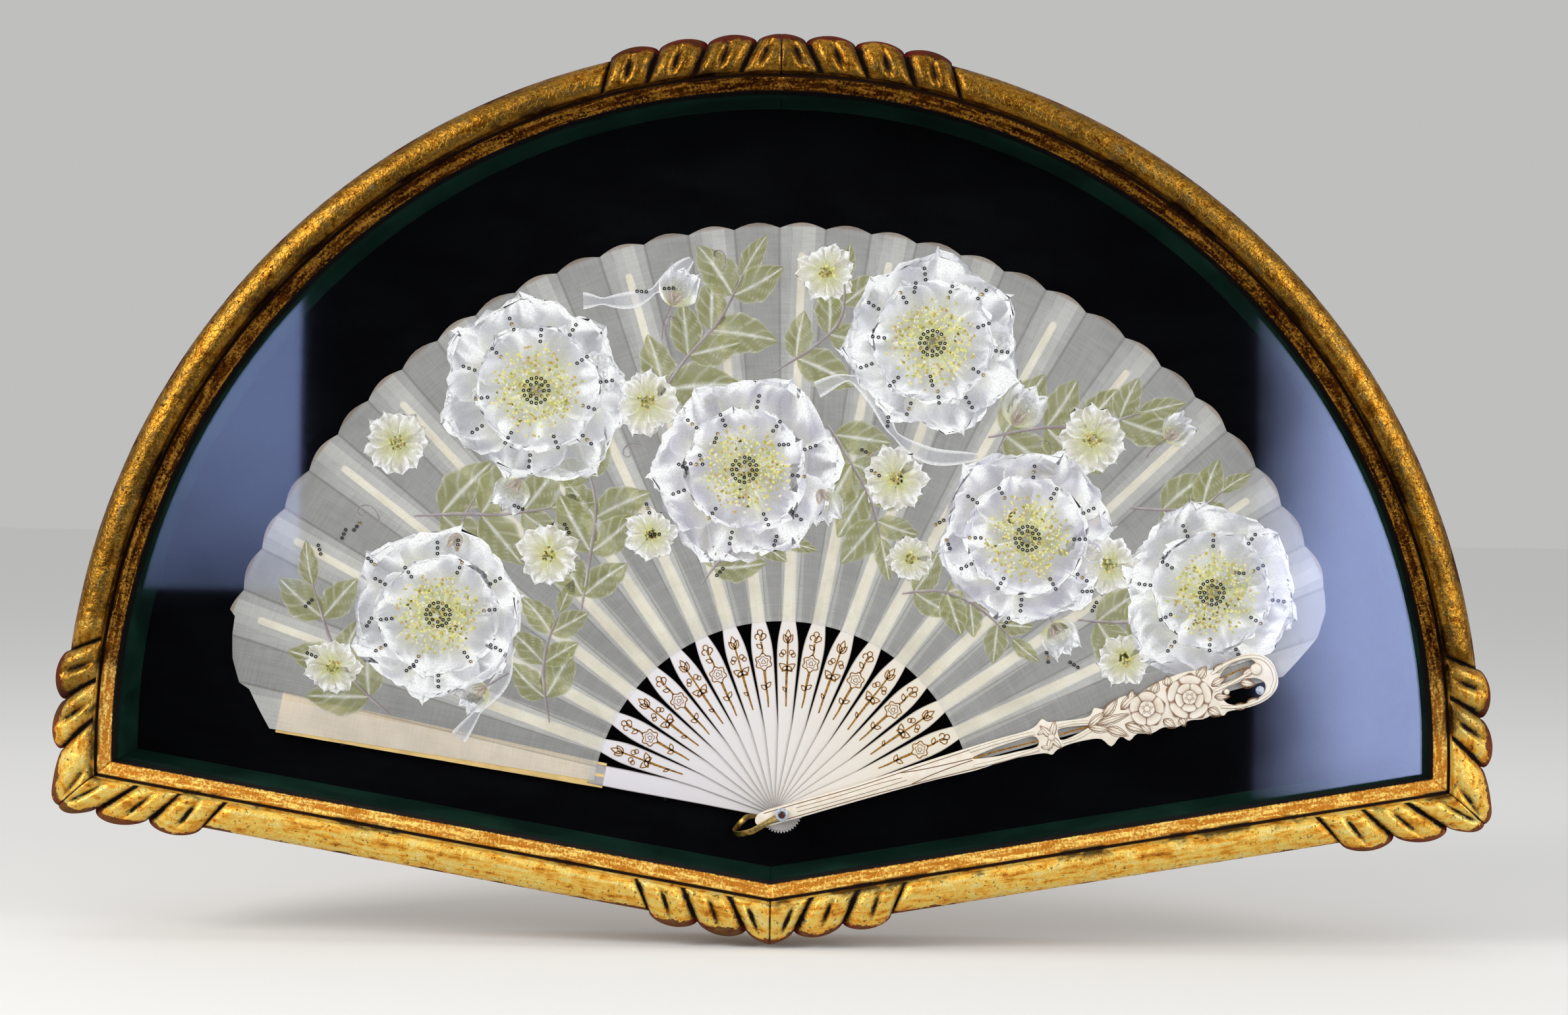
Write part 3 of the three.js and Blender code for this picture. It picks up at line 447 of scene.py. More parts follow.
def gilt_finish():
    """Old water gilding over red bole: worn on the arch, with brighter gold painted on the lower
    rails and corners as light from below, painted shade and grime in the cuts, and rubbed to the
    bole at the outer edge.

    The map runs along the moulding and across it from the sight line, both in centimetres."""
    gilt = Finish("gilt_wood")
    place = gilt.place()
    here = gilt.map()
    width = gilt.part(here, 1) * 10.0
    broad = gilt.noise(place, 0.035, 4.0)
    blotch = gilt.noise(place, 0.13, 6.0, 0.62, 0.6)
    fine = gilt.noise(place, 0.75, 5.0, 0.6)
    streak = gilt.noise(gilt.stretched(here, (0.16, 1.3, 1.0)), 3.2, 5.0, 0.6, 0.4)
    broad_drift, blotch_drift, fine_drift = broad - 0.5, blotch - 0.5, fine - 0.5

    worn_gold = gilt.tones(
        blotch * 0.45 + streak * 0.35 + fine * 0.2,
        (0.34, tone(60, 22, 3)), (0.45, tone(128, 80, 16)),
        (0.55, tone(200, 148, 54)), (0.66, tone(255, 238, 158)),
    )
    # Paler, yellower gold for the lower frame: painted light.
    painted_lit_gold = gilt.tones(
        blotch * 0.45 + streak * 0.55,
        (0.34, tone(150, 78, 14)), (0.44, tone(226, 158, 48)),
        (0.54, tone(252, 216, 106)), (0.68, tone(255, 242, 166)),
    )
    # The frame is made brighter, yellower, cleaner and less metallic towards the bottom: painted
    # light, as if lit from below.
    painted_low_light = gilt.step(gilt.part(place, 2) + broad_drift * 90.0, -85.0, -150.0)
    olive = gilt.step(broad, 0.4, 0.62) * (0.45 - painted_low_light * 0.4)
    mottled = gilt.step(streak * 0.5 + blotch * 0.5, 0.46, 0.6) * 0.8
    flecks = gilt.step(gilt.noise(place, 0.42, 6.0, 0.7), 0.59, 0.64)
    # Darker where the hollow mark is high, in the cuts, flutes, groove and mitres: painted shade,
    # with grime.
    cut_shade_and_grime = gilt.step(gilt.mark("hollow") + blotch_drift * 0.9 + fine_drift * 0.5, 0.3, 0.85)

    carved_run = gilt.step(gilt.part(here, 0), 9.3, 8.7) * 1.3
    edge = width + carved_run + broad_drift * 7.0 + blotch_drift * 5.0 + fine_drift * 1.4
    rim = gilt.step(edge, 24.9, 25.4)
    browned = gilt.step(broad * 0.5 + streak * 0.5, 0.44, 0.6)
    rubbed_bole = gilt.mixed(browned, tone(92, 18, 20), tone(66, 30, 14))
    outside = gilt.step(width + blotch_drift * 1.2, 26.2, 26.9)
    kept_gold = outside * gilt.step(streak * 0.4 + blotch * 0.6, 0.5, 0.6)

    flakes = gilt.step(fine * 0.45 + streak * 0.55, 0.46, 0.6)
    band_ground = gilt.mixed(gilt.step(blotch, 0.35, 0.65), tone(44, 15, 2), tone(90, 46, 7))
    worn_band = gilt.mixed(flakes * 0.72, band_ground, tone(198, 138, 46))
    painted_lit_band = gilt.mixed(flakes, tone(196, 122, 30), tone(252, 216, 112))
    sight = gilt.step(width + fine_drift * 0.9, 1.0, 0.3)
    groove = gilt.step(width + fine_drift * 0.8, 7.3, 7.9) * gilt.step(width, 9.5, 8.9)
    beside_groove = gilt.step(width + fine_drift * 2.4, 5.6, 7.2)
    beside_groove = beside_groove * gilt.step(width + fine_drift * 4.0, 14.0, 10.0)
    stained = gilt.step(broad + blotch_drift * 0.3, 0.5, 0.6) * beside_groove
    cracks = gilt.step(gilt.cell_edges(place, 0.32), 0.05, 0.0)

    colour = gilt.layered(
        worn_gold,
        (painted_low_light * 0.9, painted_lit_gold),
        (olive, tone(106, 80, 28)),
        (mottled * (1.0 - painted_low_light * 0.72), tone(66, 38, 8)),
        (flecks * 0.8, tone(44, 20, 8)),
        (cut_shade_and_grime, tone(24, 11, 9)),
        (rim * (0.92 - kept_gold * 0.72), rubbed_bole),
        (gilt.step(width, 7.3, 6.9), gilt.mixed(painted_low_light * 0.9, worn_band, painted_lit_band)),
        (sight, tone(16, 10, 9)),
        (stained * 0.85, tone(40, 17, 8)),
        (groove * 0.9, tone(30, 14, 8)),
        (cracks * 0.2, tone(46, 24, 16)),
    )
    bare = gilt.step(cut_shade_and_grime + rim + sight + groove + mottled * 0.5 + flecks * 0.6, 0.2, 1.0)
    dents = gilt.noise(place, 0.3, 2.0, 0.5)
    height = blotch * 0.8 + dents * 0.5 + fine * 0.16 + gilt.noise(place, 1.9) * 0.04
    return gilt.surface(
        Base_Color=colour,
        Metallic=0.96 - bare * 0.3 - painted_low_light * 0.52,
        Specular_IOR_Level=0.15,
        Roughness=0.31 + bare * 0.4 + fine_drift * 0.25,
        Normal=gilt.bump(height - cracks * 0.08 - flecks * 0.2, 0.72, 0.001),
    )


def velvet_finish(name, dark, light, sheen):
    """Velvet pile: near black face on, paler where the pile is brushed over."""
    velvet = Finish(name)
    place = velvet.place()
    pile = velvet.noise(place, 3.2)
    brushed = velvet.noise(velvet.stretched(place, (0.02, 0.02, 0.05)), 1.0, 3.0, 0.5, 0.5)
    shade = velvet.step(brushed * 0.6 + pile * 0.4, 0.36, 0.66)
    return velvet.surface(
        Base_Color=velvet.mixed(shade, dark, light),
        Roughness=0.95,
        Specular_IOR_Level=0.04,
        Sheen_Weight=sheen,
        Sheen_Roughness=0.4,
        Sheen_Tint=light,
        Normal=velvet.bump(pile, 0.6, 0.0004),
    )


def wood_finish(name, pale, dark, grain, roughness):
    """Bare wood: long fibres, and growth rings drawn out along them in arches."""
    wood = Finish(name)
    place = wood.place()
    along = wood.stretched(place, grain)
    rings = wood.waves(wood.noise(along, 0.055, 2.0, 0.4) * 150.0)
    fibres = wood.noise(along, 4.0, 6.0, 0.65)
    pores = wood.step(wood.noise(along, 2.2, 2.0), 0.62, 0.72)
    stains = wood.step(wood.noise(place, 0.012, 5.0), 0.5, 0.8)
    colour = wood.layered(
        pale,
        (wood.step(rings * 0.14 + fibres * 0.8, 0.12, 0.85), dark),
        (pores * 0.35, tone(112, 78, 46)),
        (stains * 0.3, tone(104, 78, 52)),
    )
    return wood.surface(
        Base_Color=colour,
        Roughness=roughness + fibres * 0.2,
        Normal=wood.bump(fibres, 0.5, 0.0004),
    )


def metal_finish(name, bright, dull, tarnish, roughness):
    """Metal with tarnish in patches and fine scratches."""
    metal = Finish(name)
    place = metal.place()
    patches = metal.noise(place, 0.35, 5.0, 0.6, 0.4)
    scratches = metal.noise(metal.stretched(place, (6.0, 6.0, 0.6)), 1.0, 4.0)
    aged = metal.step(patches, 0.46, 0.72)
    stained = metal.step(patches, 0.66, 0.8)
    return metal.surface(
        Base_Color=metal.layered(bright, (aged * 0.8, dull), (stained * 0.6, tarnish)),
        Metallic=1.0 - aged * 0.45,
        Roughness=roughness + aged * 0.25 + (scratches - 0.5) * 0.15,
        Normal=metal.bump(scratches + patches, 0.25, 0.0002),
    )


BONE_GLOW = {
    "Subsurface_Weight": 0.08,
    "Subsurface_Radius": (0.003, 0.002, 0.001),
    "Subsurface_Scale": 0.3,
}


def bone_finish():
    """Polished bone of the sticks: cool white at the left, creamier to the right, with fine
    grain. The ribs behind the gauze are duller and yellowed.

    The map runs from the rivet along the stick and across it, both in centimetres."""
    bone = Finish("bone")
    place = bone.place()
    here = bone.map()
    rightwards = bone.step(bone.part(place, 0), -70.0, 110.0)
    grain = bone.noise(bone.stretched(here, (2.5, 60.0, 1.0)), 1.0, 5.0, 0.6)
    canals = bone.step(bone.noise(bone.stretched(here, (5.0, 160.0, 1.0)), 1.0, 2.0), 0.62, 0.72)
    cloud = bone.noise(place, 0.05)
    rib = bone.step(bone.part(here, 0), 10.0, 10.5)
    yellowed = bone.step(cloud + grain * 0.3, 0.5, 0.8)
    colour = bone.layered(
        tone(227, 223, 232),
        (rightwards, tone(229, 220, 205)),
        (bone.step(grain, 0.4, 0.75) * 0.22, tone(214, 204, 184)),
        (canals * 0.14, tone(160, 134, 100)),
        (bone.step(cloud, 0.45, 0.75) * 0.2, tone(222, 214, 200)),
        (rib, bone.mixed(yellowed, tone(244, 236, 206), tone(228, 212, 160))),
        # Dark lines along the edges of each blade: painted shadow where the blades overlap.
        (bone.step(bone.mark("hollow"), 0.0, 0.8) * 0.75, tone(128, 114, 108)),
    )
    return bone.surface(
        Base_Color=colour,
        Roughness=0.34 + grain * 0.2 + rib * 0.35,
        Normal=bone.bump(grain, 0.12, 0.0002),
        **BONE_GLOW,
    )


def carved_bone_finish():
    """Carved bone of the front guard, brown where old polish has stayed in the cuts, and with
    painted shade over its hollows.
    """
    carved = Finish("carved_bone")
    place = carved.place()
    hollow = carved.mark("hollow")
    mottle = carved.noise(place, 0.22, 5.0)
    fine = carved.noise(place, 1.6)
    stain = carved.step(hollow + (fine - 0.5) * 0.3, 0.25, 0.8)
    colour = carved.layered(
        tone(240, 231, 220),
        (carved.step(mottle, 0.35, 0.75), tone(230, 216, 198)),
        # Greyish brown over the hollows of the carving: painted shade.
        (carved.step(hollow, 0.02, 0.5) * 0.4, tone(178, 152, 130)),
        (stain * 0.88, tone(122, 82, 44)),
    )
    return carved.surface(
        Base_Color=colour,
        Roughness=0.36 + stain * 0.3,
        Normal=carved.bump(mottle + fine * 0.4, 0.2, 0.0002),
        **BONE_GLOW,
    )


def pearl_finish():
    pearl = Finish("pearl")
    place = pearl.place()
    swirl = pearl.noise(place, 0.5, 4.0, 0.5, 1.5)
    fire = pearl.noise(place, 1.1, 3.0, 0.5, 2.0)
    nacre = pearl.tones(
        swirl,
        (0.3, tone(126, 140, 168)), (0.45, tone(168, 182, 204)),
        (0.58, tone(206, 208, 216)), (0.72, tone(176, 196, 190)),
    )
    return pearl.surface(
        Base_Color=pearl.mixed(pearl.step(fire, 0.5, 0.7) * 0.5, nacre, tone(214, 190, 206)),
        Roughness=0.2 + fire * 0.15,
        Coat_Weight=0.7,
        Coat_Roughness=0.08,
        Normal=pearl.bump(swirl, 0.15, 0.0002),
    )


def small_finish(
    name, scale, detail, colours, shares, roughness, bump, distance=0.0001, **sockets
):
    """A finish of a small piece: one cloud of noise between two colours."""
    small = Finish(name)
    cloud = small.noise(small.place(), scale, detail)
    share = small.step(cloud, *shares) if shares else cloud
    return small.surface(
        Base_Color=small.mixed(share, *colours),
        Roughness=roughness[0] + cloud * roughness[1],
        Normal=small.bump(cloud, bump, distance),
        **sockets,
    )


def silk_finish():
    """The silk that covers the rear guard above the gorge."""
    silk = Finish("guard_silk")
    here = silk.map()
    threads = silk.waves(silk.part(here, 0) * 130.0) + silk.waves(silk.part(here, 1) * 130.0)
    soft = silk.step(silk.noise(silk.place(), 0.06, 4.0), 0.35, 0.7)
    slub = silk.noise(silk.stretched(here, (3.0, 40.0, 1.0)), 1.0)
    colour = silk.layered(
        tone(240, 206, 136),
        (soft, tone(218, 182, 112)),
        (silk.step(slub, 0.5, 0.7) * 0.3, tone(244, 222, 168)),
    )
    return silk.surface(
        Base_Color=colour,
        Roughness=0.55 + slub * 0.2,
        Sheen_Weight=0.3,
        Normal=silk.bump(threads * 0.25 + slub * 0.6, 0.3, 0.0002),
    )


def gauze_finish():
    """Fine grey gauze: open weave, doubled beside each rib, with painted shade on every other face
    and dark painted shade lines at the folds.

    The map holds the place across a gap, in tens of degrees, and the reach in centimetres."""
    gauze = Finish("gauze")
    here = gauze.map()
    place = gauze.place()
    turn = gauze.part(here, 0) * 10.0
    reach = gauze.part(here, 1) * 10.0
    across = turn * reach * radians(1)
    far = (STICK_ANGLE - turn) * reach * radians(1)
    doubled = gauze.step(across, 7.0, 6.8) * 0.8 + gauze.step(far, 5.4, 5.2) * 0.45
    # The faces between the folds darker, and dark lines along the folds: painted shade of the
    # pleats.
    face = gauze.step(turn, 2.2, 2.3) * gauze.step(turn, 6.8, 6.7)
    near_fold_shade = gauze.step(turn, 2.05, 2.25) * gauze.step(turn, 2.6, 2.25)
    far_fold_shade = gauze.step(turn, 6.4, 6.75) * gauze.step(turn, 6.95, 6.75)
    fold = near_fold_shade + far_fold_shade
    warp = gauze.waves(across * 9.5) * 0.5 + 0.5
    weft = gauze.waves(reach * 9.5) * 0.5 + 0.5
    weave = warp * weft
    bars = gauze.noise(gauze.vector(reach * 0.9, across * 0.05), 1.0, 2.0)
    threads = gauze.noise(gauze.vector(across * 1.1, reach * 0.03), 1.0, 2.0)
    cloud = gauze.noise(place, 0.035)
    soft = gauze.noise(place, 0.3)
    rim = gauze.step(reach, 308.4, 310.6)
    colour = gauze.layered(
        tone(232, 231, 232),
        (gauze.step(cloud, 0.4, 0.65), tone(212, 211, 212)),
        (face * 0.4, tone(166, 165, 168)),
        (gauze.step(soft, 0.5, 0.75) * 0.2, tone(190, 182, 164)),
        (doubled * 0.25, tone(240, 238, 232)),
        (fold * 0.5, tone(110, 104, 96)),
        (rim * 0.7, tone(128, 104, 78)),
    )
    cover = 0.5 + doubled * 0.13 - weave * 0.1 + (bars - 0.5) * 0.16 + (threads - 0.5) * 0.16
    return gauze.surface(
        Base_Color=colour,
        Alpha=cover + (cloud - 0.5) * 0.12 + rim * 0.2 + fold * 0.1,
        Roughness=0.85,
        Specular_IOR_Level=0.2,
        Sheen_Weight=0.15,
        Normal=gauze.bump(weave + bars, 0.2, 0.0001),
    )


def paint_finish():
    """Body colour brushed on the gauze, opaque in the highlights and thin in the petals."""
    paint = Finish("leaf_painting")
    place = paint.place()
    brush = paint.noise(place, 1.4, 4.0)
    weave = paint.noise(paint.stretched(place, (3.0, 0.1, 3.0)), 1.0, 2.0)
    dry = paint.step(brush * 0.6 + weave * 0.4, 0.62, 0.42)
    colour = paint.mark("paint", "Color")
    return paint.surface(
        Base_Color=paint.mixed((brush - 0.4) * 0.35, colour, tone(236, 232, 224)),
        Alpha=paint.mark("paint", "Alpha") * (0.72 + dry * 0.28),
        Roughness=0.62 + brush * 0.2,
        Normal=paint.bump(brush, 0.3, 0.0001),
    )


def glass_finish():
    """Old picture glass: clear, with a reflection that grows at a glance."""
    glass = Finish("glass")
    dust = glass.step(glass.noise(glass.place(), 0.6, 5.0), 0.6, 0.85)
    facing = glass.node("ShaderNodeLayerWeight", inputs={"Blend": 0.5}, output="Facing")
    gleam = facing ** 5.0 * 0.96 + 0.04 + dust * 0.004
    clear = glass.node("ShaderNodeBsdfTransparent", inputs={"Color": (0.985, 0.99, 0.985, 1.0)})
    mirror = glass.node("ShaderNodeBsdfGlossy", inputs={"Roughness": 0.03})
    return glass.shown(glass.node("ShaderNodeMixShader", inputs={0: gleam, 1: clear, 2: mirror}))


gilt_wood = gilt_finish()
green_velvet = velvet_finish("green_velvet", tone(5, 25, 19), tone(20, 50, 40), 0.24)
black_velvet = velvet_finish("black_velvet", tone(3, 3, 5), tone(8, 9, 11), 0.015)
pine = wood_finish("pine", tone(206, 170, 118), tone(150, 106, 62), (0.02, 0.7, 0.02), 0.6)
plywood = wood_finish("plywood", tone(190, 152, 104), tone(140, 98, 58), (0.025, 0.6, 0.6), 0.65)
steel = metal_finish("steel", tone(150, 148, 146), tone(104, 96, 88), tone(96, 56, 34), 0.4)
brass = metal_finish("hanger_brass", tone(196, 160, 92), tone(134, 104, 60), tone(84, 60, 36), 0.38)
fan_brass = metal_finish(
    "fan_brass", tone(232, 190, 98), tone(160, 108, 46), tone(110, 62, 26), 0.28
)
black_pin = metal_finish("black_pin", tone(34, 32, 34), tone(20, 19, 20), tone(60, 40, 30), 0.45)
bone = bone_finish()
carved_bone = carved_bone_finish()
pearl = pearl_finish()
rivet_head = small_finish(
    "rivet_head", 0.9, 3.0, (tone(42, 22, 20), tone(96, 52, 38)), None, (0.25, 0.15), 0.1,
    Coat_Weight=0.4,
)
stick_gilding = small_finish(
    "stick_gilding", 0.9, 4.0, (tone(190, 138, 52), tone(126, 80, 26)), (0.4, 0.65),
    (0.36, 0.25), 0.2, Metallic=0.45,
)
engraved_line = small_finish(
    "engraved_line", 0.8, 3.0, (tone(88, 54, 28), tone(140, 100, 58)), None, (0.6, 0.2), 0.3
)
black_spangle = small_finish(
    "black_spangle", 1.2, 3.0, (tone(18, 16, 18), tone(52, 46, 46)), (0.4, 0.7),
    (0.22, 0.2), 0.4, Metallic=0.4,
)
gold_spangle = small_finish(
    "gold_spangle", 1.2, 3.0, (tone(226, 196, 120), tone(160, 124, 66)), (0.4, 0.7),
    (0.22, 0.2), 0.4, Metallic=0.9,
)
guard_silk = silk_finish()
gauze = gauze_finish()
leaf_painting = paint_finish()
glass = glass_finish()

# The pieces of the case that keep their shape
SIDES = (("right", 1), ("left", -1))
kept = [("glass_pane", glass), ("mount_board", black_velvet), ("back_panel", plywood)]
for side_name, _ in SIDES:
    for run in ("arch", "bottom"):
        kept.append((f"velvet_liner_{run}_{side_name}", green_velvet))
        kept.append((f"case_wall_{run}_{side_name}", pine))
    for fitting in ("hanger_plate", "hanger_ring"):
        kept.append((f"{fitting}_{side_name}", brass))
    kept.append((f"hanger_screw_{side_name}", steel))
kept += [(f"panel_screw_{k}", steel) for k in range(1, 7)]
kept += [(f"support_pin_{k}", black_pin) for k in range(1, 4)]
for node_name, finish in kept:
    for material_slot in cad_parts[node_name].material_slots:
        material_slot.material = finish


# Moulding

Station = namedtuple("Station", "x z out lobe distance")


def arch_station(angle, lobe, distance, shift=0.0, skew=0.0):
    x, z = beside_line(0.0, 0.0, radians(angle), SIGHT_RADIUS, shift)
    return Station(x, z, (cos(radians(angle)), sin(radians(angle)) - skew), lobe, distance)


def jamb_station(z, lobe, distance, skew):
    return Station(SIGHT_RADIUS, z, (1.0, -skew), lobe, distance)


def rail_station(run, lobe, distance, skew):
    out = (RAIL_SIN + RAIL_COS * skew, -RAIL_COS + RAIL_SIN * skew)
    x, z = SIGHT_RADIUS - RAIL_COS * run, -JAMB_DROP - RAIL_SIN * run
    return Station(x, z, out, lobe, distance)


def lobe_reach(lobe):
    return lobe.first + lobe.count * lobe.pitch


def distances(lobe, total):
    """Distances along a carved run: close together in the lobes, then wider apart."""
    reach = lobe_reach(lobe)
    step = lobe.pitch / LOBE_STEPS
    stops = [k * step for k in range(int(reach / step) + 1)]
    while stops[-1] + step < reach + 2.5 * LOBE_END:
        stops.append(stops[-1] + step)
    while stops[-1] + STATION_STEP < total:
        stops.append(stops[-1] + STATION_STEP)
    return [stop for stop in stops if stop < total - 0.2] + [total]


def lower_arch_stations():
    reach, skewed_run = lobe_reach(JAMB), CORNER_SKEW * MOULDING_WIDTH
    top = radians(SEAM_ANGLE) * SIGHT_RADIUS
    stations = []
    for distance in distances(JAMB, top + JAMB_DROP + skewed_run):
        share = clamp(distance / reach)
        skew = CORNER_SKEW * (1 - share)
        z = -JAMB_DROP + distance - skewed_run * share
        if distance == 0:
            z += JOINT_GAP / 2
        if z <= 0:
            stations.append(jamb_station(z, JAMB, distance, skew))
        else:
            angle = degrees(z / SIGHT_RADIUS)
            shift = -JOINT_GAP / 2 if angle > SEAM_ANGLE - 0.01 else 0.0
            stations.append(arch_station(angle, JAMB, distance, shift, skew))
    return stations


def upper_arch_stations():
    edge_radius = SIGHT_RADIUS + MOULDING_WIDTH
    stations = []
    for distance in distances(CROWN, radians(90 - SEAM_ANGLE) * edge_radius):
        angle = 90 - degrees(distance / edge_radius)
        shift = -JOINT_GAP / 2 if distance == 0 else 0.0
        if angle < SEAM_ANGLE + 0.01:
            shift = JOINT_GAP / 2
        stations.append(arch_station(angle, CROWN, distance, shift))
    return stations


def bottom_rail_stations():
    """Stations in from the corner, then from the middle of the run on to the apex."""
    stations = []
    for lobe, skewed, far in ((RAIL, CORNER_SKEW, False), (APEX, APEX_SKEW, True)):
        reach = lobe_reach(lobe)
        run_in = skewed * MOULDING_WIDTH
        part = []
        for distance in distances(lobe, RAIL_LENGTH / 2 + run_in - far * STATION_STEP):
            share = clamp(distance / reach)
            gap = JOINT_GAP / 2 if distance == 0 else 0.0
            run = distance - run_in * share + gap
            skew = skewed * (1 - share)
            if far:
                run, skew = RAIL_LENGTH - run, -skew
            part.append(rail_station(run, lobe, distance, skew))
        stations += reversed(part) if far else part
    return stations


def lobe_form(lobe, distance):
    """Height over the flutes, 0 to 1, the height of the scalloped edge, and the gouge."""
    before = min(0.0, distance)
    distance = max(0.0, distance)
    start = -lobe.first
    for k in range(lobe.count + 1):
        end = lobe.first + k * lobe.pitch
        if distance <= end:
            share = clamp((distance - start) / (end - start))
            flat = max(0.0, sin(pi * share))
            steep = clamp(min(share, 1 - share) * (end - start) / 5.0)
            middle = 0.5 if k else lobe.split
            gouge = exp(before / 1.5 - ((share - middle) / 0.085) ** 2)
            return (0.55 * steep + 0.45 * flat ** 0.5), flat ** 0.5, gouge
        start = end
    past = clamp((distance - start) / LOBE_END)
    return sqrt(1 - (1 - past) ** 2), 0.0, 0.0


def moulding_section(station):
    """Places across the moulding: width, depth, how hollow it is there and width on the map."""
    lobe, distance = station.lobe, station.distance
    from_mitre = clamp(1 - distance / MITRE_CUT_RUN)
    section = [
        (width, depth + MITRE_CUT * from_mitre * ease(width / 2), max(hollow, from_mitre), width)
        for width, depth, hollow in BAND_SECTION
    ]
    for k in range(ROLL_POINTS + 1):
        turn = pi * k / ROLL_POINTS
        across = (1 - cos(turn)) / 2
        base = -BAND_FRONT + (BAND_FRONT - ROLL_BACK) * across
        swell = (MOULDING_FRONT - (BAND_FRONT + ROLL_BACK) / 2) * sin(turn)
        height, edge, gouge = lobe_form(lobe, distance - lobe.lean * (1 - across))
        cut = (1 - height) * sin(turn) ** 0.55
        tear = gouge * max(0.0, sin(pi * clamp((across - 0.1) / 0.8))) ** 0.6
        on_map = ROLL_FROM + ROLL_WIDTH * across
        width = on_map + lobe.rise * edge * across * across
        if lobe in (JAMB, RAIL):
            width -= CORNER_ROUND * clamp(1 - distance / CORNER_ROUND_RUN) ** 2 * across
        depth = base - swell + LOBE_CUT * cut + lobe.gouge * tear
        depth = min(depth + MITRE_CUT * from_mitre, ROLL_DEEPEST)
        # How hollow each place is, in the flutes, the gouge and at the mitre: the gilt is darkened
        # there with painted shade and grime.
        hollow = clamp(1.25 * (1 - height) ** 1.3 + 0.9 * tear + 0.9 * from_mitre)
        section.append((width, depth, hollow, on_map))
    return section + BACK_SECTION


def uneven(point):
    """The slight waves of hand-cut gesso."""
    return 0.3 * noise.noise(point * 0.045) + 0.1 * noise.noise(point * 0.25)


def moulding_length(name, stations, side):
    sections = [moulding_section(station) for station in stations]
    columns, rows = len(stations) - 1, len(sections[0]) - 1
    shaped = range(len(BAND_SECTION), len(BAND_SECTION) + ROLL_POINTS + 1)

    def place(u, v):
        column, row = round(u * columns), round(v * rows)
        station = stations[column]
        width, depth, hollow, on_map = sections[column][row]
        x = side * (station.x + station.out[0] * width)
        z = ARCH_Z + station.z + station.out[1] * width
        point = Vector((x, depth, z))
        if row in shaped:
            point.y += uneven(point)
        return point, hollow, (station.distance / 10, on_map / 10)

    bm = new_shape("hollow", mapped=True)
    shaped_grid(bm, columns, rows, place)
    ends_closed(bm)
    stands_for(finished(bm, name, gilt_wood, crease=50), "case", "gilt_wood", name)


for side_name, side in SIDES:
    moulding_length(f"moulding_lower_arch_{side_name}", lower_arch_stations(), side)
    moulding_length(f"moulding_upper_arch_{side_name}", upper_arch_stations(), side)
    moulding_length(f"moulding_bottom_rail_{side_name}", bottom_rail_stations(), side)


# Sticks and rear guard

TAIL_END = -11.0
RIB_END = 296.0
REAR_GORGE_END = 98.0
SILK_FROM = 96.0
SILK_LENGTH = 176.0
SILK_LIFT = 0.02
LINE_LIFT = 0.03
LINE_WIDTH = 0.66

# Reach and half width along a stick: the teeth of its tail, its gorge blade and its rib
STICK_EDGE = (
    (TAIL_END, 0.5), (-10.2, 0.7), (-9.5, 1.2), (-9.1, 2.8), (-8.4, 3.6), (0.0, 3.75),
    (46.0, 3.65), (56.0, 4.1), (65.0, 4.62), (73.0, 5.1), (80.0, 5.5), (85.0, 5.65),
    (89.0, 5.55), (92.5, 5.2), (95.5, 4.75), (98.0, 4.3), (100.0, 3.9), (102.5, 3.4),
    (150.0, 2.9), (220.0, 2.35), (RIB_END, 2.05),
)
REAR_BLADE_EDGE = (
    (TAIL_END, 0.5), (-10.2, 0.8), (-9.5, 1.6), (-8.8, 4.6), (46.0, 4.8), (84.0, 5.4),
    (REAR_GORGE_END, 5.4),
)
REAR_SILK_EDGE = ((SILK_FROM, 6.6), (SILK_FROM + SILK_LENGTH, 10.8))
# Shares of the half width at which a blade has its lines of verts, and the painted shadow that
# darkens them along its edges
ROW_SHARES = (-1.0, -0.95, -0.86, -0.5, 0.0, 0.5, 0.86, 0.95, 1.0)
ROW_EDGE_SHADES = (1.0, 0.5, 0.0, 0.0, 0.0, 0.0, 0.0, 0.5, 1.0)
TAIL_ROUND = 1.6


def blade(bm, edge, back_y, thickness, stops, round_ends=True, dome=0.12):
    """A flat blade along its own run, with a slightly pillowed face."""
    start, end = stops[0], stops[-1]
    columns, rows = len(stops) - 1, len(ROW_SHARES) - 1
    half_end = table(edge, end)

    def place(u, v):
        reach = stops[round(u * columns)]
        half = table(edge, reach)
        if round_ends:
            near = min(clamp((reach - start) / TAIL_ROUND), clamp((end - reach) / half_end))
            half *= max(0.55 if reach < 0 else 0.12, sqrt(1 - (1 - near) ** 2))
        row = round(v * rows)
        side = ROW_SHARES[row] * half
        return Vector((reach, back_y, side)), ROW_EDGE_SHADES[row], (reach / 10, side / 10)

    shaped_grid(bm, columns, rows, place)
    for vert in lifted_side(bm, bm.faces[:]):
        half = max(0.5, table(edge, vert.co.x))
        pillow = dome * (1 - min(1.0, abs(vert.co.z) / half) ** 2)
        vert.co.y -= thickness - dome + pillow
    rounded(bm, sharp_edges(bm), 0.14)


def blade_stops(end, gorge_step=1.5, rib_step=6.0):
    stops = [TAIL_END + 0.35 * k for k in range(10)]
    while stops[-1] < 104:
        stops.append(stops[-1] + gorge_step)
    while stops[-1] + rib_step < end - 3:
        stops.append(stops[-1] + rib_step)
    return stops + [end - 2.2, end - 1.4, end - 0.8, end - 0.4, end - 0.15, end]


def strip(bm, points, width, y):
    """A thin flat line through points of reach and side, as wide all along or by its share."""
    last = len(points) - 1

    def place(u, v):
        k = round(u * last)
        wide = width(k / last) if callable(width) else width
        reach, side = beside_run(points, k, (v - 0.5) * wide)
        return Vector((reach, y, side)), None, None

    shaped_grid(bm, last, 1, place)


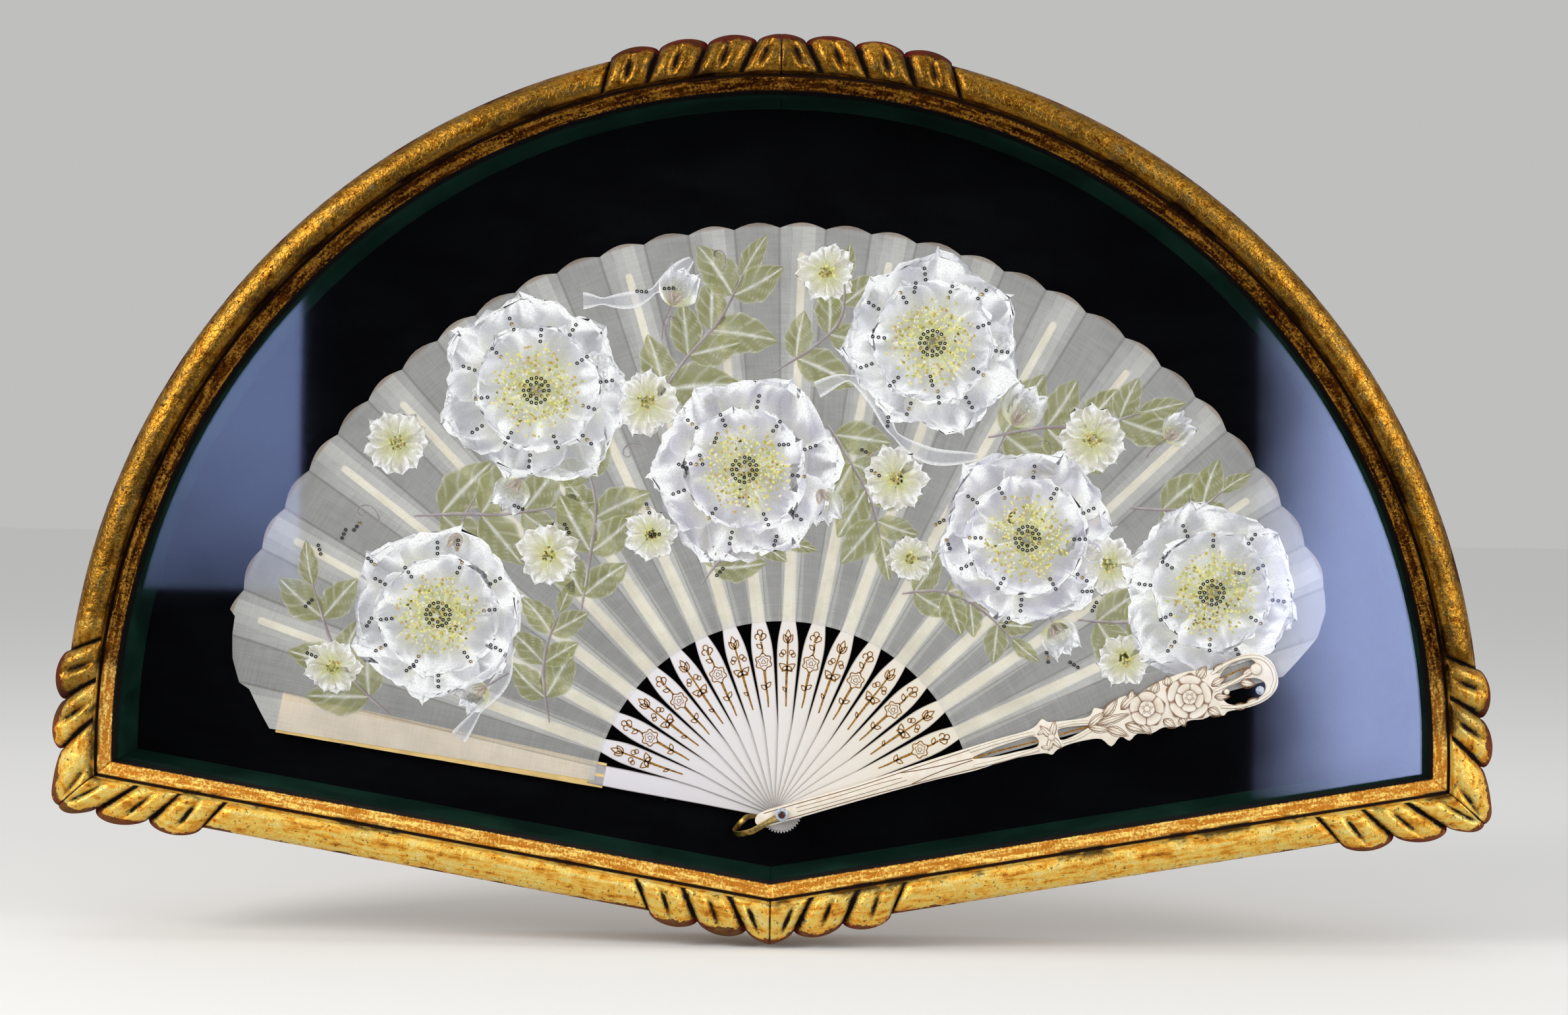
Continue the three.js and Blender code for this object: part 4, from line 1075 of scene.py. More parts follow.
def ring_points(reach, side, radius, turns=1.0, start=0.0, wave=0.0, lobes=0, steps=26):
    points = []
    for k in range(steps + 1):
        turn = start + 2 * pi * turns * k / steps
        r = radius * (1 + wave * cos(lobes * turn))
        points.append((reach + r * cos(turn), side + r * sin(turn)))
    return points


def petal_points(reach, side, direction, length, width):
    """Outline of a leaf or petal from its base, as a closed line."""
    outline = []
    for k in range(21):
        share = k / 20
        along = length * (1 - abs(2 * share - 1))
        half = 0.5 * width * sin(pi * (along / length) ** 0.8) * (1 if share < 0.5 else -1)
        outline.append(beside_line(reach, side, direction, along, half))
    return outline


def rose_sprig(bm, y, line):
    """Gilt sprig of the even sticks: a three-lobed bud, a rose and a leafy stem."""
    strip(bm, [(56, 0.3), (61, 0), (68, 0.2), (75.6, 0)], lambda u: line * (1.1 + 1.1 * u), y)
    strip(bm, curve_through([(84.2, 0), (87, -0.3), (90.8, 0.1)], 6), line * 1.5, y)
    strip(bm, ring_points(80, 0, 4.0, wave=0.13, lobes=6, steps=48), line, y)
    strip(bm, ring_points(80.2, 0.1, 2.4, wave=0.14, lobes=5, steps=40), line * 0.6, y)
    strip(bm, ring_points(80, 0, 1.0, wave=0.2, lobes=3, steps=24), line * 0.6, y)
    for bud_reach, bud_side in ((93.6, 1.6), (93.6, -1.6), (95.7, 0.0)):
        start = atan2(bud_side, bud_reach - 91.0) + pi * 1.25
        loop = ring_points(bud_reach, bud_side, 1.35, turns=0.75, start=start, steps=18)
        strip(bm, [(91.2, 0.2 * bud_side)] + loop, line, y)
    for base, side, turn in ((65.5, 0.1, 0.8), (66.5, 0, -0.8), (87.4, -0.2, 0.9)):
        strip(bm, petal_points(base, side, turn, 3.6, 2.0), line * 0.9, y)


def tulip_sprig(bm, y, line):
    """Gilt sprig of the odd sticks: a tulip bud over pairs of round and pointed leaves."""
    strip(bm, [(56, -0.2), (63, 0), (72, 0.1), (76, 0)], lambda u: line * (1.2 + 1.1 * u), y)
    strip(bm, curve_through([(76, 0), (83, -0.1), (90, 0)], 6), line * 1.4, y)
    for turn in (-0.5, 0.5):
        strip(bm, petal_points(89.6, 0, turn, 5.0, 2.6), line, y)
    strip(bm, petal_points(90.0, 0, 0, 6.6, 2.8), line, y)
    for way in (-1, 1):
        for at, far, size in ((84.6, 2.1, 1.25), (83.2, 3.1, 1.1)):
            strip(bm, ring_points(at, way * far, size, steps=16), line * 0.85, y)
        strip(bm, petal_points(75.5, 0, way * 0.95, 5.2, 3.0), line, y)
        strip(bm, petal_points(77.0, 0, way * 2.3, 3.6, 2.2), line, y)
    strip(bm, petal_points(64, 0, 0.7, 3.0, 1.3), line * 0.9, y)


for i in range(1, STICK_COUNT + 1):
    angle = REAR_ANGLE - STICK_ANGLE * i
    back_y = FIRST_STICK_BACK - STICK_PITCH * (i - 1)
    name = f"stick_{i:02d}"
    bm = new_shape("hollow", mapped=True)
    blade(bm, STICK_EDGE, back_y, STICK_THICKNESS, blade_stops(RIB_END))
    fan_piece(bm, angle, name, bone, f"{name}_body", "bone", name, crease=40)
    bm = new_shape()
    sprig = rose_sprig if i % 2 == 0 else tulip_sprig
    sprig(bm, back_y - STICK_THICKNESS - LINE_LIFT, LINE_WIDTH)
    fan_piece(bm, angle, f"{name}_gilding", stick_gilding, f"{name}_body", None)

rear_stops = blade_stops(REAR_GORGE_END)
silk_stops = [SILK_FROM + SILK_LENGTH * k / 40 for k in range(41)]
silk_thickness = REAR_GUARD_THICKNESS + SILK_LIFT
bm = new_shape("hollow", mapped=True)
blade(bm, REAR_BLADE_EDGE, REAR_GUARD_BACK, REAR_GUARD_THICKNESS, rear_stops, False)
fan_piece(bm, REAR_ANGLE, "rear_guard_blade", bone, "case", "bone", "rear_guard", crease=40)
bm = new_shape(mapped=True)
blade(bm, REAR_SILK_EDGE, REAR_GUARD_BACK, silk_thickness, silk_stops, False, 0.5)
fan_piece(bm, REAR_ANGLE, "rear_guard_silk", guard_silk, "case", "bone", "rear_guard", crease=40)


# Rivet, washers, stud and bail

TURNED_STEPS = 40


def turned(name, profile, centre, material, slot, body="case"):
    """A piece turned about an axis that runs into the wall. The profile is radius and depth."""
    bm = bmesh.new()
    verts = [bm.verts.new((radius, y, 0)) for radius, y in profile]
    for one, two in zip(verts, verts[1:]):
        bm.edges.new((one, two))
    geometry = bm.verts[:] + bm.edges[:]
    bmesh.ops.spin(
        bm, geom=geometry, cent=(0, 0, 0), axis=(0, 1, 0), angle=2 * pi, steps=TURNED_STEPS,
        use_merge=True,
    )
    seam_merged(bm)
    bmesh.ops.translate(bm, verts=bm.verts, vec=(centre[0], 0, centre[1]))
    stands_for(finished(bm, name, material, crease=50), body, slot, name)


PIVOT = (PIVOT_X, PIVOT_Z)
front_washer = (
    (1.5, -37.4), (3.3, -37.4), (3.5, -37.55), (3.5, -37.9), (3.25, -38.12), (2.4, -38.2),
    (1.5, -38.2), (1.5, -37.4),
)
rear_washer = (
    (1.5, -12.6), (3.4, -12.6), (3.5, -12.75), (3.5, -13.25), (3.35, -13.4), (1.5, -13.4),
    (1.5, -12.6),
)
rivet = (
    (0.0, -12.6), (1.45, -12.6), (1.5, -12.8), (1.5, -38.5), (1.85, -38.5), (1.9, -38.62),
    (1.7, -38.85), (1.1, -38.97), (0.0, -39.0),
)
stud_y = FRONT_GUARD_BACK - FRONT_GUARD_THICKNESS / 2 - 1.0
stud = [
    (radius, stud_y + behind) for radius, behind in (
        (0.0, 2.0), (2.2, 2.0), (2.3, 1.8), (2.3, 0.7), (2.1, 0.3), (1.4, 0.05), (0.0, 0.0)
    )
]
stud_place = fan_point(FRONT_ANGLE, 259.2, -6.4)
turned("front_washer", front_washer, PIVOT, pearl, "pearl")
turned("rear_washer", rear_washer, PIVOT, pearl, "pearl")
turned("rivet_pin", rivet, PIVOT, rivet_head, "fan_brass")
turned("guard_stud", stud, stud_place, pearl, "pearl", "front_guard_body")

BAIL_ANGLE = 210.0
BAIL_REACH = 27.0
BAIL_LEG = BAIL_REACH * 0.66
BAIL_DROP = 6.0
BAIL_FRONT = -36.75
BAIL_REAR = -14.05
STRAP_HALF_WIDTH = 1.5
STRAP_HALF_THICKNESS = 0.35
EYE_RADIUS = 3.2
EYE_THICKNESS = 0.75


def bail_shape():
    """A flat strap in a U round the tails, with an eye at each end of the rivet."""
    run = [Vector((2.5, BAIL_FRONT, 0)), Vector((BAIL_LEG, BAIL_FRONT, 0))]
    for share in (0.06, 0.12, 0.2, 0.3, 0.4, 0.5, 0.6, 0.7, 0.8, 0.88, 0.94):
        reach = BAIL_LEG + (BAIL_REACH - BAIL_LEG) * sin(pi * share)
        y = blend_of(BAIL_FRONT, BAIL_REAR, (1 - cos(pi * share)) / 2)
        run.append(Vector((reach, y, -BAIL_DROP * share)))
    run += [Vector((BAIL_LEG, BAIL_REAR, -BAIL_DROP)), Vector((2.5, BAIL_REAR, 0))]
    last = len(run) - 1

    def place(u, v):
        k = round(u * last)
        along = run[min(last, k + 1)] - run[max(0, k - 1)]
        thin = Vector((-along.y, along.x, 0)).normalized()
        corner = round(v * 4) % 4
        lift = STRAP_HALF_THICKNESS * (1 if corner in (0, 3) else -1)
        wide = STRAP_HALF_WIDTH * (1 if corner in (0, 1) else -1)
        return run[k] + thin * lift + Vector((0, 0, wide)), None, None

    bm = bmesh.new()
    shaped_grid(bm, last, 4, place)
    ends_closed(bm)
    for y in (BAIL_FRONT, BAIL_REAR):
        turn = Matrix.Translation((0, y, 0)) @ Matrix.Rotation(pi / 2, 4, "X")
        bmesh.ops.create_cone(
            bm, cap_ends=True, segments=32, radius1=EYE_RADIUS, radius2=EYE_RADIUS,
            depth=EYE_THICKNESS, matrix=turn,
        )
    rounded(bm, sharp_edges(bm), 0.12)
    return bm


fan_piece(
    bail_shape(), BAIL_ANGLE, "bail_ring", fan_brass, "bail_ring_body", "fan_brass", "bail_ring",
    crease=40,
)


# Carved front guard

# The outline and the openings, in shares of the guard's length and of its half width
GUARD_EDGE = (
    (-0.0537, 0), (-0.0481, 0.2), (-0.0333, 0.29), (0, 0.31), (0.148, 0.3),
    (0.281, 0.41), (0.352, 0.46), (0.437, 0.5), (0.5, 0.49), (0.522, 0.58),
    (0.537, 0.76), (0.548, 0.58), (0.574, 0.48), (0.611, 0.37), (0.63, 0.4),
    (0.641, 0.62), (0.659, 0.47), (0.681, 0.66), (0.704, 0.74), (0.726, 0.62),
    (0.748, 0.76), (0.77, 0.88), (0.8, 0.95), (0.83, 0.98), (0.859, 0.9),
    (0.881, 0.78), (0.9, 0.9), (0.926, 0.98), (0.952, 1), (0.978, 0.86),
    (0.996, 0.5), (1, 0), (0.996, -0.44), (0.978, -0.76), (0.952, -0.92),
    (0.919, -0.94), (0.889, -0.88), (0.878, -0.99), (0.863, -0.83), (0.837, -0.9),
    (0.811, -0.81), (0.785, -0.92), (0.759, -0.79), (0.733, -0.89), (0.707, -0.75),
    (0.689, -0.92), (0.674, -0.68), (0.652, -0.94), (0.637, -0.57), (0.611, -0.46),
    (0.574, -0.43), (0.548, -0.51), (0.537, -0.63), (0.522, -0.49), (0.481, -0.4),
    (0.437, -0.37), (0.389, -0.41), (0.352, -0.38), (0.281, -0.32), (0.148, -0.3),
    (0, -0.3), (-0.0333, -0.28), (-0.0481, -0.2),
)
GUARD_OPENINGS = (
    ((0.385, 0.06), (0.43, 0.2), (0.481, 0.24), (0.511, 0.23), (0.519, 0),
     (0.511, -0.2), (0.474, -0.17), (0.43, -0.12)),
    ((0.559, 0.02), (0.563, 0.22), (0.593, 0.17), (0.622, 0.02), (0.593, -0.16),
     (0.563, -0.21)),
    ((0.888, 0.2), (0.9, 0.64), (0.928, 0.83), (0.953, 0.82), (0.966, 0.58),
     (0.95, 0.38), (0.92, 0.22)),
    ((0.888, -0.1), (0.92, 0.05), (0.952, 0.08), (0.972, -0.2), (0.968, -0.55),
     (0.945, -0.76), (0.915, -0.78), (0.89, -0.55)),
)


def guard_loop(shares, steps):
    """The closed outline through shares of the guard's length and half width."""
    points = [(GUARD_LENGTH * reach, GUARD_HALF * side) for reach, side in shares]
    closed = points[-1:] + points + points[:2]
    run = curve_through(closed, steps)
    return run[steps:steps + steps * len(points)]


def guard_plate(bm):
    edges = []
    for shares, steps in [(GUARD_EDGE, 3)] + [(opening, 4) for opening in GUARD_OPENINGS]:
        verts = [bm.verts.new((p[0], FRONT_GUARD_BACK, p[1])) for p in guard_loop(shares, steps)]
        for k, vert in enumerate(verts):
            edges.append(bm.edges.new((vert, verts[(k + 1) % len(verts)])))
    bmesh.ops.triangle_fill(bm, use_beauty=True, use_dissolve=False, edges=edges)
    front = lifted_side(bm, bm.faces[:])
    bmesh.ops.translate(bm, verts=front, vec=(0, -FRONT_GUARD_THICKNESS, 0))
    bmesh.ops.recalc_face_normals(bm, faces=bm.faces)
    faced = [
        edge for edge in sharp_edges(bm) if abs(edge.verts[0].co.y - edge.verts[1].co.y) < 0.1
    ]
    rounded(bm, faced, 0.32)


# The carved pieces mark how hollow they are, most in their cuts and low parts; the guard's finish
# paints shade and brown stain there.
def carved_leaf(bm, reach, side, direction, length, width, height):
    """A raised pointed leaf with a cut midrib."""

    def place(u, v):
        across = 2 * u - 1
        half = 0.5 * width * sin(pi * v ** 0.75) ** 0.85 * (1 + 0.1 * sin(9 * pi * v))
        dome = (1 - across * across) * max(0.0, sin(pi * v)) ** 0.5
        vein = exp(-((across / 0.16) ** 2)) * 0.35
        lift = height * (dome - vein * dome) - 0.12
        x, z = beside_line(reach, side, direction, length * v, across * half)
        return Vector((x, GUARD_FRONT - lift, z)), clamp(1.15 - 1.3 * dome + vein * 2.0), None

    shaped_grid(bm, 8, 10, place)


def carved_petal(bm, reach, side, direction, near, far, width, y, height):
    """A broad petal of a rose, hollowed in its middle and turned up at its rim."""

    def place(u, v):
        across = 2 * u - 1
        half = 0.5 * width * (0.35 + 0.65 * sin(0.5 * pi * min(1.0, v * 1.25)))
        half *= sqrt(max(0.02, 1 - max(0.0, v - 0.55) ** 2 * 4.2))
        along = near + (far - near) * v * (1 - 0.24 * across * across)
        cup = 0.55 + 0.45 * v ** 2 + 0.2 * across * across
        lift = height * cup * (1 - max(0.0, abs(across) - 0.85) * 3.5)
        if v > 0.92:
            lift -= height * 0.5
        hollow = 0.8 * (1 - v) ** 2 + 5.0 * max(0.0, abs(across) - 0.78)
        if v > 0.85:
            hollow += 1.0
        x, z = beside_line(reach, side, direction, along, across * half)
        return Vector((x, y - lift, z)), clamp(hollow), None

    shaped_grid(bm, 14, 10, place)


def carved_rose(bm, reach, side, radius, tiers):
    """Tiers of five petals, each turned half a petal on from the one below, and a knob."""
    turn_on, y = 0.0, GUARD_FRONT
    for level, share in enumerate(tiers):
        y = GUARD_FRONT - TIER_RISE * level
        inmost = level == len(tiers) - 1
        outer = radius * share * (1.0 if inmost else 1.08)
        inner = 0.1 if inmost else radius * tiers[level + 1] * 0.55
        width, height, step = (1.15, 0.5, 0.0) if inmost else (1.08, 0.62, 0.12)
        for k in range(5):
            turn = turn_on + 2 * pi * k / 5
            front = y - step * (k % 2)
            carved_petal(bm, reach, side, turn, inner, outer, width * outer, front, height)
        turn_on += pi / 5
    knob(bm, reach, side, radius * tiers[-1] * 0.32, 0.42, y - 0.25)


def knob(bm, reach, side, radius, height, y=GUARD_FRONT):
    squashed = Matrix.Translation((reach, y, side)) @ Matrix.Diagonal((radius, height, radius, 1))
    made = bmesh.ops.create_uvsphere(bm, u_segments=14, v_segments=8, radius=1.0, matrix=squashed)
    hollow = bm.verts.layers.float.get("hollow")
    for vert in made["verts"]:
        vert[hollow] = clamp(0.9 - 1.2 * (y - vert.co.y) / height)


def carved_stem(bm, points, width, height):
    """A rounded stem along points of reach and side."""
    run = curve_through(points, 6)

    def place(u, v):
        x, z = beside_run(run, round(u * (len(run) - 1)), (v - 0.5) * width)
        lift = height * (1 - (2 * v - 1) ** 2) - 0.1
        return Vector((x, GUARD_FRONT - lift, z)), clamp(1 - 1.6 * lift / height), None

    shaped_grid(bm, len(run) - 1, 6, place)


# Roses of the guard: reach, side, radius and the share of it that each tier takes
GUARD_ROSES = ((222.3, 0.5, 11.9, (1.0, 0.66, 0.36)), (199.2, 0.8, 9.4, (1.0, 0.52)))
TIER_RISE = 0.42

# Leaves of the guard: reach, side, direction in degrees, length, width and height
GUARD_LEAVES = (
    (147, 0, 62, 9.5, 4.2, 0.9), (147, 0, 118, 9.0, 4.2, 0.9), (147, 0, -62, 8.0, 4.0, 0.9),
    (147, 0, -118, 7.5, 4.0, 0.9), (140, 3.2, 20, 7, 2.6, 0.6), (140, -3.2, -20, 7, 2.6, 0.6),
    (167, 0, 24, 12, 3.8, 0.8), (167, 0, -24, 12, 3.8, 0.8), (171, 0, 2, 19, 3.6, 1.0),
    (176, 3, 36, 12, 4.2, 0.9), (176, -3, -36, 12, 4.2, 0.9), (186, 4, 30, 12, 4.4, 0.9),
    (186, -4, -34, 11, 4.6, 0.9), (192, 7, 62, 6, 3.6, 0.8), (194, -6, -60, 7.5, 3.8, 0.8),
    (204, 7.5, 48, 7, 4, 0.8), (206, -7, -50, 7.5, 4, 0.8), (213, 9, 78, 5.5, 4, 0.7),
    (215, -8.5, -78, 5, 4, 0.7), (229, 8.4, 40, 8, 4.4, 0.8), (230, -8, -44, 7.5, 4.2, 0.8),
    (235, 3, 14, 9, 3.4, 0.7), (235, -3, -14, 8, 3.2, 0.7), (238, 9.5, 24, 7, 3.4, 0.7),
    (243, -11, -8, 8, 3, 0.6), (250, -11.4, 12, 7, 2.8, 0.6), (252, 3.5, 20, 8, 3.4, 0.7),
    (250, 0.8, -26, 8, 4.2, 0.8),
)
# Stems of the guard: points of reach and side, width and height
GUARD_STEMS = (
    (((104, 4.8), (116, 5.2), (128, 5.2), (139, 4.6)), 2.2, 0.5),
    (((104, -3.6), (116, -4.3), (128, -4.3), (139, -4.2)), 2.2, 0.5),
    (((152, 4.6), (160, 4.2), (168, 2.4)), 1.9, 0.5),
    (((152, -4.2), (160, -4), (168, -2.2)), 1.9, 0.5),
    (((237, 9), (246, 12), (256, 12.6), (264, 10), (268, 4), (268, -3), (264, -9)), 2.2, 0.6),
    (((237, -9), (246, -11.4), (256, -11.4), (264, -9)), 2.0, 0.6),
    (((236, 0), (244, 1.2), (252, 3), (259, 5)), 2.0, 0.6),
)
# Buds of the guard: reach, side, radius and height
GUARD_BUDS = ((147, 0, 1.9, 1.3), (260, 5.0, 3.3, 1.4), (242, -2.2, 1.6, 0.9))

bm = new_shape("hollow")
guard_plate(bm)
for reach, side, direction, length, width, height in GUARD_LEAVES:
    carved_leaf(bm, reach, side, radians(direction), length, width, height)
for stem in GUARD_STEMS:
    carved_stem(bm, *stem)
for rose in GUARD_ROSES:
    carved_rose(bm, *rose)
for bud in GUARD_BUDS:
    knob(bm, *bud)
fan_piece(
    bm, FRONT_ANGLE, "front_guard", carved_bone, "front_guard_body", "carved_bone",
    "front_guard", crease=38,
)

# Lines through points of reach and side, with their width
ENGRAVED_LINES = (
    (((-9, 3.1), (10, 3.2), (40, 3.1), (70, 4.2), (96, 5.2), (110, 5.9)), 0.45),
    (((-9, -3.0), (10, -3.1), (40, -3.0), (70, -3.6), (96, -4.4), (110, -4.9)), 0.45),
    (((66, 3.9), (76, 2.6), (88, 1.7), (104, 0.9)), 0.5),
    (((70, -3.4), (80, -1.8), (92, -0.7), (104, -0.1)), 0.5),
    (((8, 1.2), (30, 1.1), (52, 1.6), (66, 1.2)), 0.3),
    (((8, -1.0), (30, -1.2), (52, -1.2), (68, -0.6)), 0.3),
)
GOLD_STEMS = (
    ((103, 0.6), (116, 0.9), (128, 0.5), (141, 0.1)),
    ((150, 0), (158, 0.2), (168.5, 0.1)),
    ((240, 4), (247, 6.2), (256, 7.2)),
)
GOLD_STEM_WIDTH = 0.9
GOLD_STEM_FRONT = FRONT_GUARD_BACK - FRONT_GUARD_THICKNESS * 0.6
KNOT_LEAVES = 6
OUTLINE_WIDTH = 0.3
OUTLINE_LIFT = 0.04

# The engraving also rings each leaf past the first ones, which lie round the knot
bm = new_shape()
for points, width in ENGRAVED_LINES:
    strip(bm, curve_through(points, 8), width, GUARD_FRONT - LINE_LIFT)
for reach, side, direction, length, width, _ in GUARD_LEAVES[KNOT_LEAVES:]:
    outline = petal_points(reach, side, radians(direction), length * 1.06, width * 1.25)
    strip(bm, outline, OUTLINE_WIDTH, GUARD_FRONT - OUTLINE_LIFT)
fan_piece(bm, FRONT_ANGLE, "front_guard_engraving", engraved_line, "front_guard_body", None)
bm = new_shape()
for points in GOLD_STEMS:
    strip(bm, curve_through(points, 6), GOLD_STEM_WIDTH, GOLD_STEM_FRONT)
fan_piece(bm, FRONT_ANGLE, "front_guard_gold_stems", stick_gilding, "front_guard_body", None)


# Leaf of gauze

# Degrees past the rear guard and reach, where the rim is cut off beside the guards
RIM_LEFT = (
    (-1.95, 275.5), (1.8, 290.0), (2.25, 296.0), (4.5, 302.5), (6.75, 306.0), (9.0, 308.5),
)
RIM_RIGHT = ((146.25, 309.0), (148.5, 305.0), (150.75, 296.0), (151.5, 290.0), (153.6, 273.0))
FIRST_LEAF_BACK = -17.0
LAST_LEAF_BACK = -33.1
RIB_FROM = 101.5
RIB_HALF_WIDTH = 3.9
RIB_TAPER = 1.25
# Half the degrees by which the first and the last panel are cut wider, past their guards
END_SPREAD = 1.2


def leaf_back(i):
    """Depth of the leaf's back on rib i: the rear guard is 0 and the front guard the last."""
    return LAST_LEAF_BACK if i > STICK_COUNT else FIRST_LEAF_BACK - STICK_PITCH * i


def rib_half_angle(reach):
    share = clamp((reach - RIB_FROM) / (RIB_END - RIB_FROM))
    return degrees(asin((RIB_HALF_WIDTH - RIB_TAPER * share) / reach))


def leaf_front(gap, turn, reach):
    """Depth of the leaf's face in a gap, at degrees past the gap's first rib."""
    swing = PLEAT_RELIEF * min(1.0, reach / LEAF_OUTER)
    near, far = leaf_back(gap), leaf_back(gap + 1)
    half = rib_half_angle(reach)
    levels = (
        (0.0, near),
        (half, near),
        (FOLD_ANGLE, near + (swing if gap > 0 else 0.0)),
        (STICK_ANGLE - FOLD_ANGLE, far - (swing if gap < STICK_COUNT else 0.0)),
        (STICK_ANGLE - half, far),
        (STICK_ANGLE, far),
    )
    return table(levels, turn) - LEAF_THICKNESS


def rim_reach(gap, turn):
    whole = STICK_ANGLE * gap + turn
    scallop = abs(sin(pi * (turn + FOLD_ANGLE) / (2 * FOLD_ANGLE)))
    rim = LEAF_OUTER + SCALLOP_RISE * scallop
    if whole < RIM_LEFT[-1][0]:
        rim = min(rim, table(RIM_LEFT, whole))
    if whole > RIM_RIGHT[0][0]:
        rim = min(rim, table(RIM_RIGHT, whole))
    return rim


def gap_turns(gap):
    """Degrees past the gap's first rib at which the leaf has its lines of verts."""
    turns = [0, 0.45, 0.9, 1.3, 1.8, 2.25, 3.0, 3.75, 4.5, 5.25, 6.0, 6.75, 7.2, 7.7, 8.1, 8.55, 9]
    if gap == 0:
        turns = [-1.95, -1.3, -0.65] + turns
    if gap == STICK_COUNT:
        turns = turns + [9.3, 9.6]
    return turns


def gap_hinge(gap):
    """Where a gap's cloth starts and ends its turn from one rib to the next."""
    middle = REAR_ANGLE - STICK_ANGLE * (gap + 0.5)
    half = LEAF_INNER * sin(radians(STICK_ANGLE / 2))
    y = leaf_back(gap)
    ends = []
    for side in (half, -half):
        x, z = fan_point(middle, LEAF_INNER, side)
        ends.append((x * MM, y * MM, z * MM))
    return ends


def follows_gap(piece, gap):
    start, end = gap_hinge(gap)
    BODIES[gap + 1]
    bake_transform(piece)


def leaf_panel(gap):
    turns = gap_turns(gap)
    columns = len(turns) - 1

    def place(u, v):
        turn = turns[round(u * columns)]
        reach = blend_of(LEAF_INNER, rim_reach(gap, turn), v)
        x, z = fan_point(REAR_ANGLE - STICK_ANGLE * gap - turn, reach)
        return Vector((x, leaf_front(gap, turn, reach), z)), None, (turn / 10, reach / 10)

    bm = new_shape(mapped=True)
    shaped_grid(bm, columns, LEAF_ROWS, place)
    bmesh.ops.recalc_face_normals(bm, faces=bm.faces)
    if sum(face.normal.y for face in bm.faces) > 0:
        bmesh.ops.reverse_faces(bm, faces=bm.faces)
    piece = finished(bm, f"leaf_panel_{gap + 1:02d}", gauze, crease=2.0, recalculated=False)
    follows_gap(piece, gap)
    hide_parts("leaf")
    return piece


# Painting and spangles: generic flowers, leaves, ribbons and garlands

LIT = (0.94, 0.94, 0.98)
PETAL = (0.66, 0.66, 0.76)
VIOLET_PETAL = (0.6, 0.58, 0.74)
YELLOW_GREEN = (0.54, 0.54, 0.12)
OCHRE = (0.58, 0.42, 0.12)
PALE_YELLOW = (0.82, 0.76, 0.28)
OLIVE = (0.2, 0.2, 0.05)
LEAF_GREEN = (0.38, 0.39, 0.13)
LILAC_BROWN = (0.2, 0.13, 0.15)
CREAM = (0.8, 0.76, 0.66)
ROSE_PINK = (0.6, 0.42, 0.42)

# Great blossoms: angle, reach, radius, petals, tilt and ground colour
BLOSSOMS = (
    (151, 210, 49, 6, 0.3, PETAL),
    (121, 258, 52, 7, 0.8, PETAL),
    (97, 182, 51, 6, 0.1, VIOLET_PETAL),
    (73, 260, 51, 7, 0.55, PETAL),
    (49, 194, 49, 6, 0.2, VIOLET_PETAL),
    (28, 254, 49, 6, 0.7, PETAL),
)
DAISY_PETALS = 13
RIBBON_WIDTH = 9.0
DAB_COVER = 0.95
PAINT_ANGLES = (19.0, 171.0)
PAINT_OFF_INNER = 0.5
PAINT_OFF_RIM = 0.6

# Spangles: rings in a blossom's heart with their counts, shares of its radius for those in rows
# on its petals, and loose rows of three between
HEART_RINGS = ((0.13, 16), (0.08, 8))
PETAL_SPANGLES = (0.5, 0.56, 0.62)
LOOSE_ROWS = 34
LOOSE_PITCH = 2.4
SPANGLE_RADIUS = 0.95
SPANGLE_LAYER = 9
SPANGLE_ANGLES = (19.5, 169.0)
SPANGLE_OFF_INNER = 3.0
SPANGLE_OFF_RIM = 4.0

chance = random.Random(7)


def mixed_colour(one, two, share):
    share = clamp(share)
    return tuple(blend_of(a, b, share) for a, b in zip(one, two))


def on_leaf(angle, reach):
    return Vector(fan_point(angle, reach))


def polar_run(places):
    return [on_leaf(angle, reach) for angle, reach in places]


def painted(bm, columns, rows, layer, where, colour):
    """A brushed patch: where(u, v) in the fan's plane and colour(u, v) with its cover."""

    def place(u, v):
        x, z = where(u, v)
        return Vector((x, -PAINT_LIFT * layer, z)), colour(u, v), None

    shaped_grid(bm, columns, rows, place)


def petal(
    bm, centre, direction, near, far, width, layer, ground, point, columns=22, rows=20
):
    """One petal with a bright ragged rim and streaks from its heart."""
    seed = chance.uniform(0, 90)

    def where(u, v):
        across = 2 * u - 1
        ragged = 0.09 * noise.noise(Vector((across * 9.0, v * 9.0, seed)))
        ruffle = 1 + 0.16 * noise.noise(Vector((across * 1.8, v * 2.4, seed))) + ragged
        body = sin(pi * v ** (1.7 - 1.6 * point)) ** (0.5 + 0.6 * point)
        half = 0.5 * width * (0.2 * (1 - v) + body) * ruffle
        tip = 1 - 0.1 * (1 - point) * across * across * v
        tip += 0.07 * v * noise.noise(Vector((across * 3.5, seed, 0))) + ragged * v
        along = near + (far - near) * v * tip
        return beside_line(centre.x, centre.y, direction, along, across * half)

    def colour(u, v):
        across = 2 * u - 1
        grain = noise.noise(Vector((across * 6.0, v * 3.4, seed * 3.1)))
        flow = noise.noise(Vector((across * 2.0, v * 3.0, seed * 1.7)))
        edge = max(abs(across) ** 1.6 * (0.35 + 0.65 * v), v ** 1.8)
        rim = ease((edge - 0.5 + 0.45 * grain + 0.5 * flow) / 0.45)
        streak = clamp((1 - v * 1.4) * (0.95 + 1.2 * grain))
        shade = mixed_colour(ground, LIT, 0.35 + 0.7 * flow + 0.3 * grain)
        shade = mixed_colour(shade, YELLOW_GREEN, 0.8 * streak)
        shade = mixed_colour(shade, LIT, rim)
        return (*shade, clamp(0.6 + 0.3 * flow + 0.2 * streak + 0.36 * rim + 0.18 * grain))

    painted(bm, columns, rows, layer, where, colour)


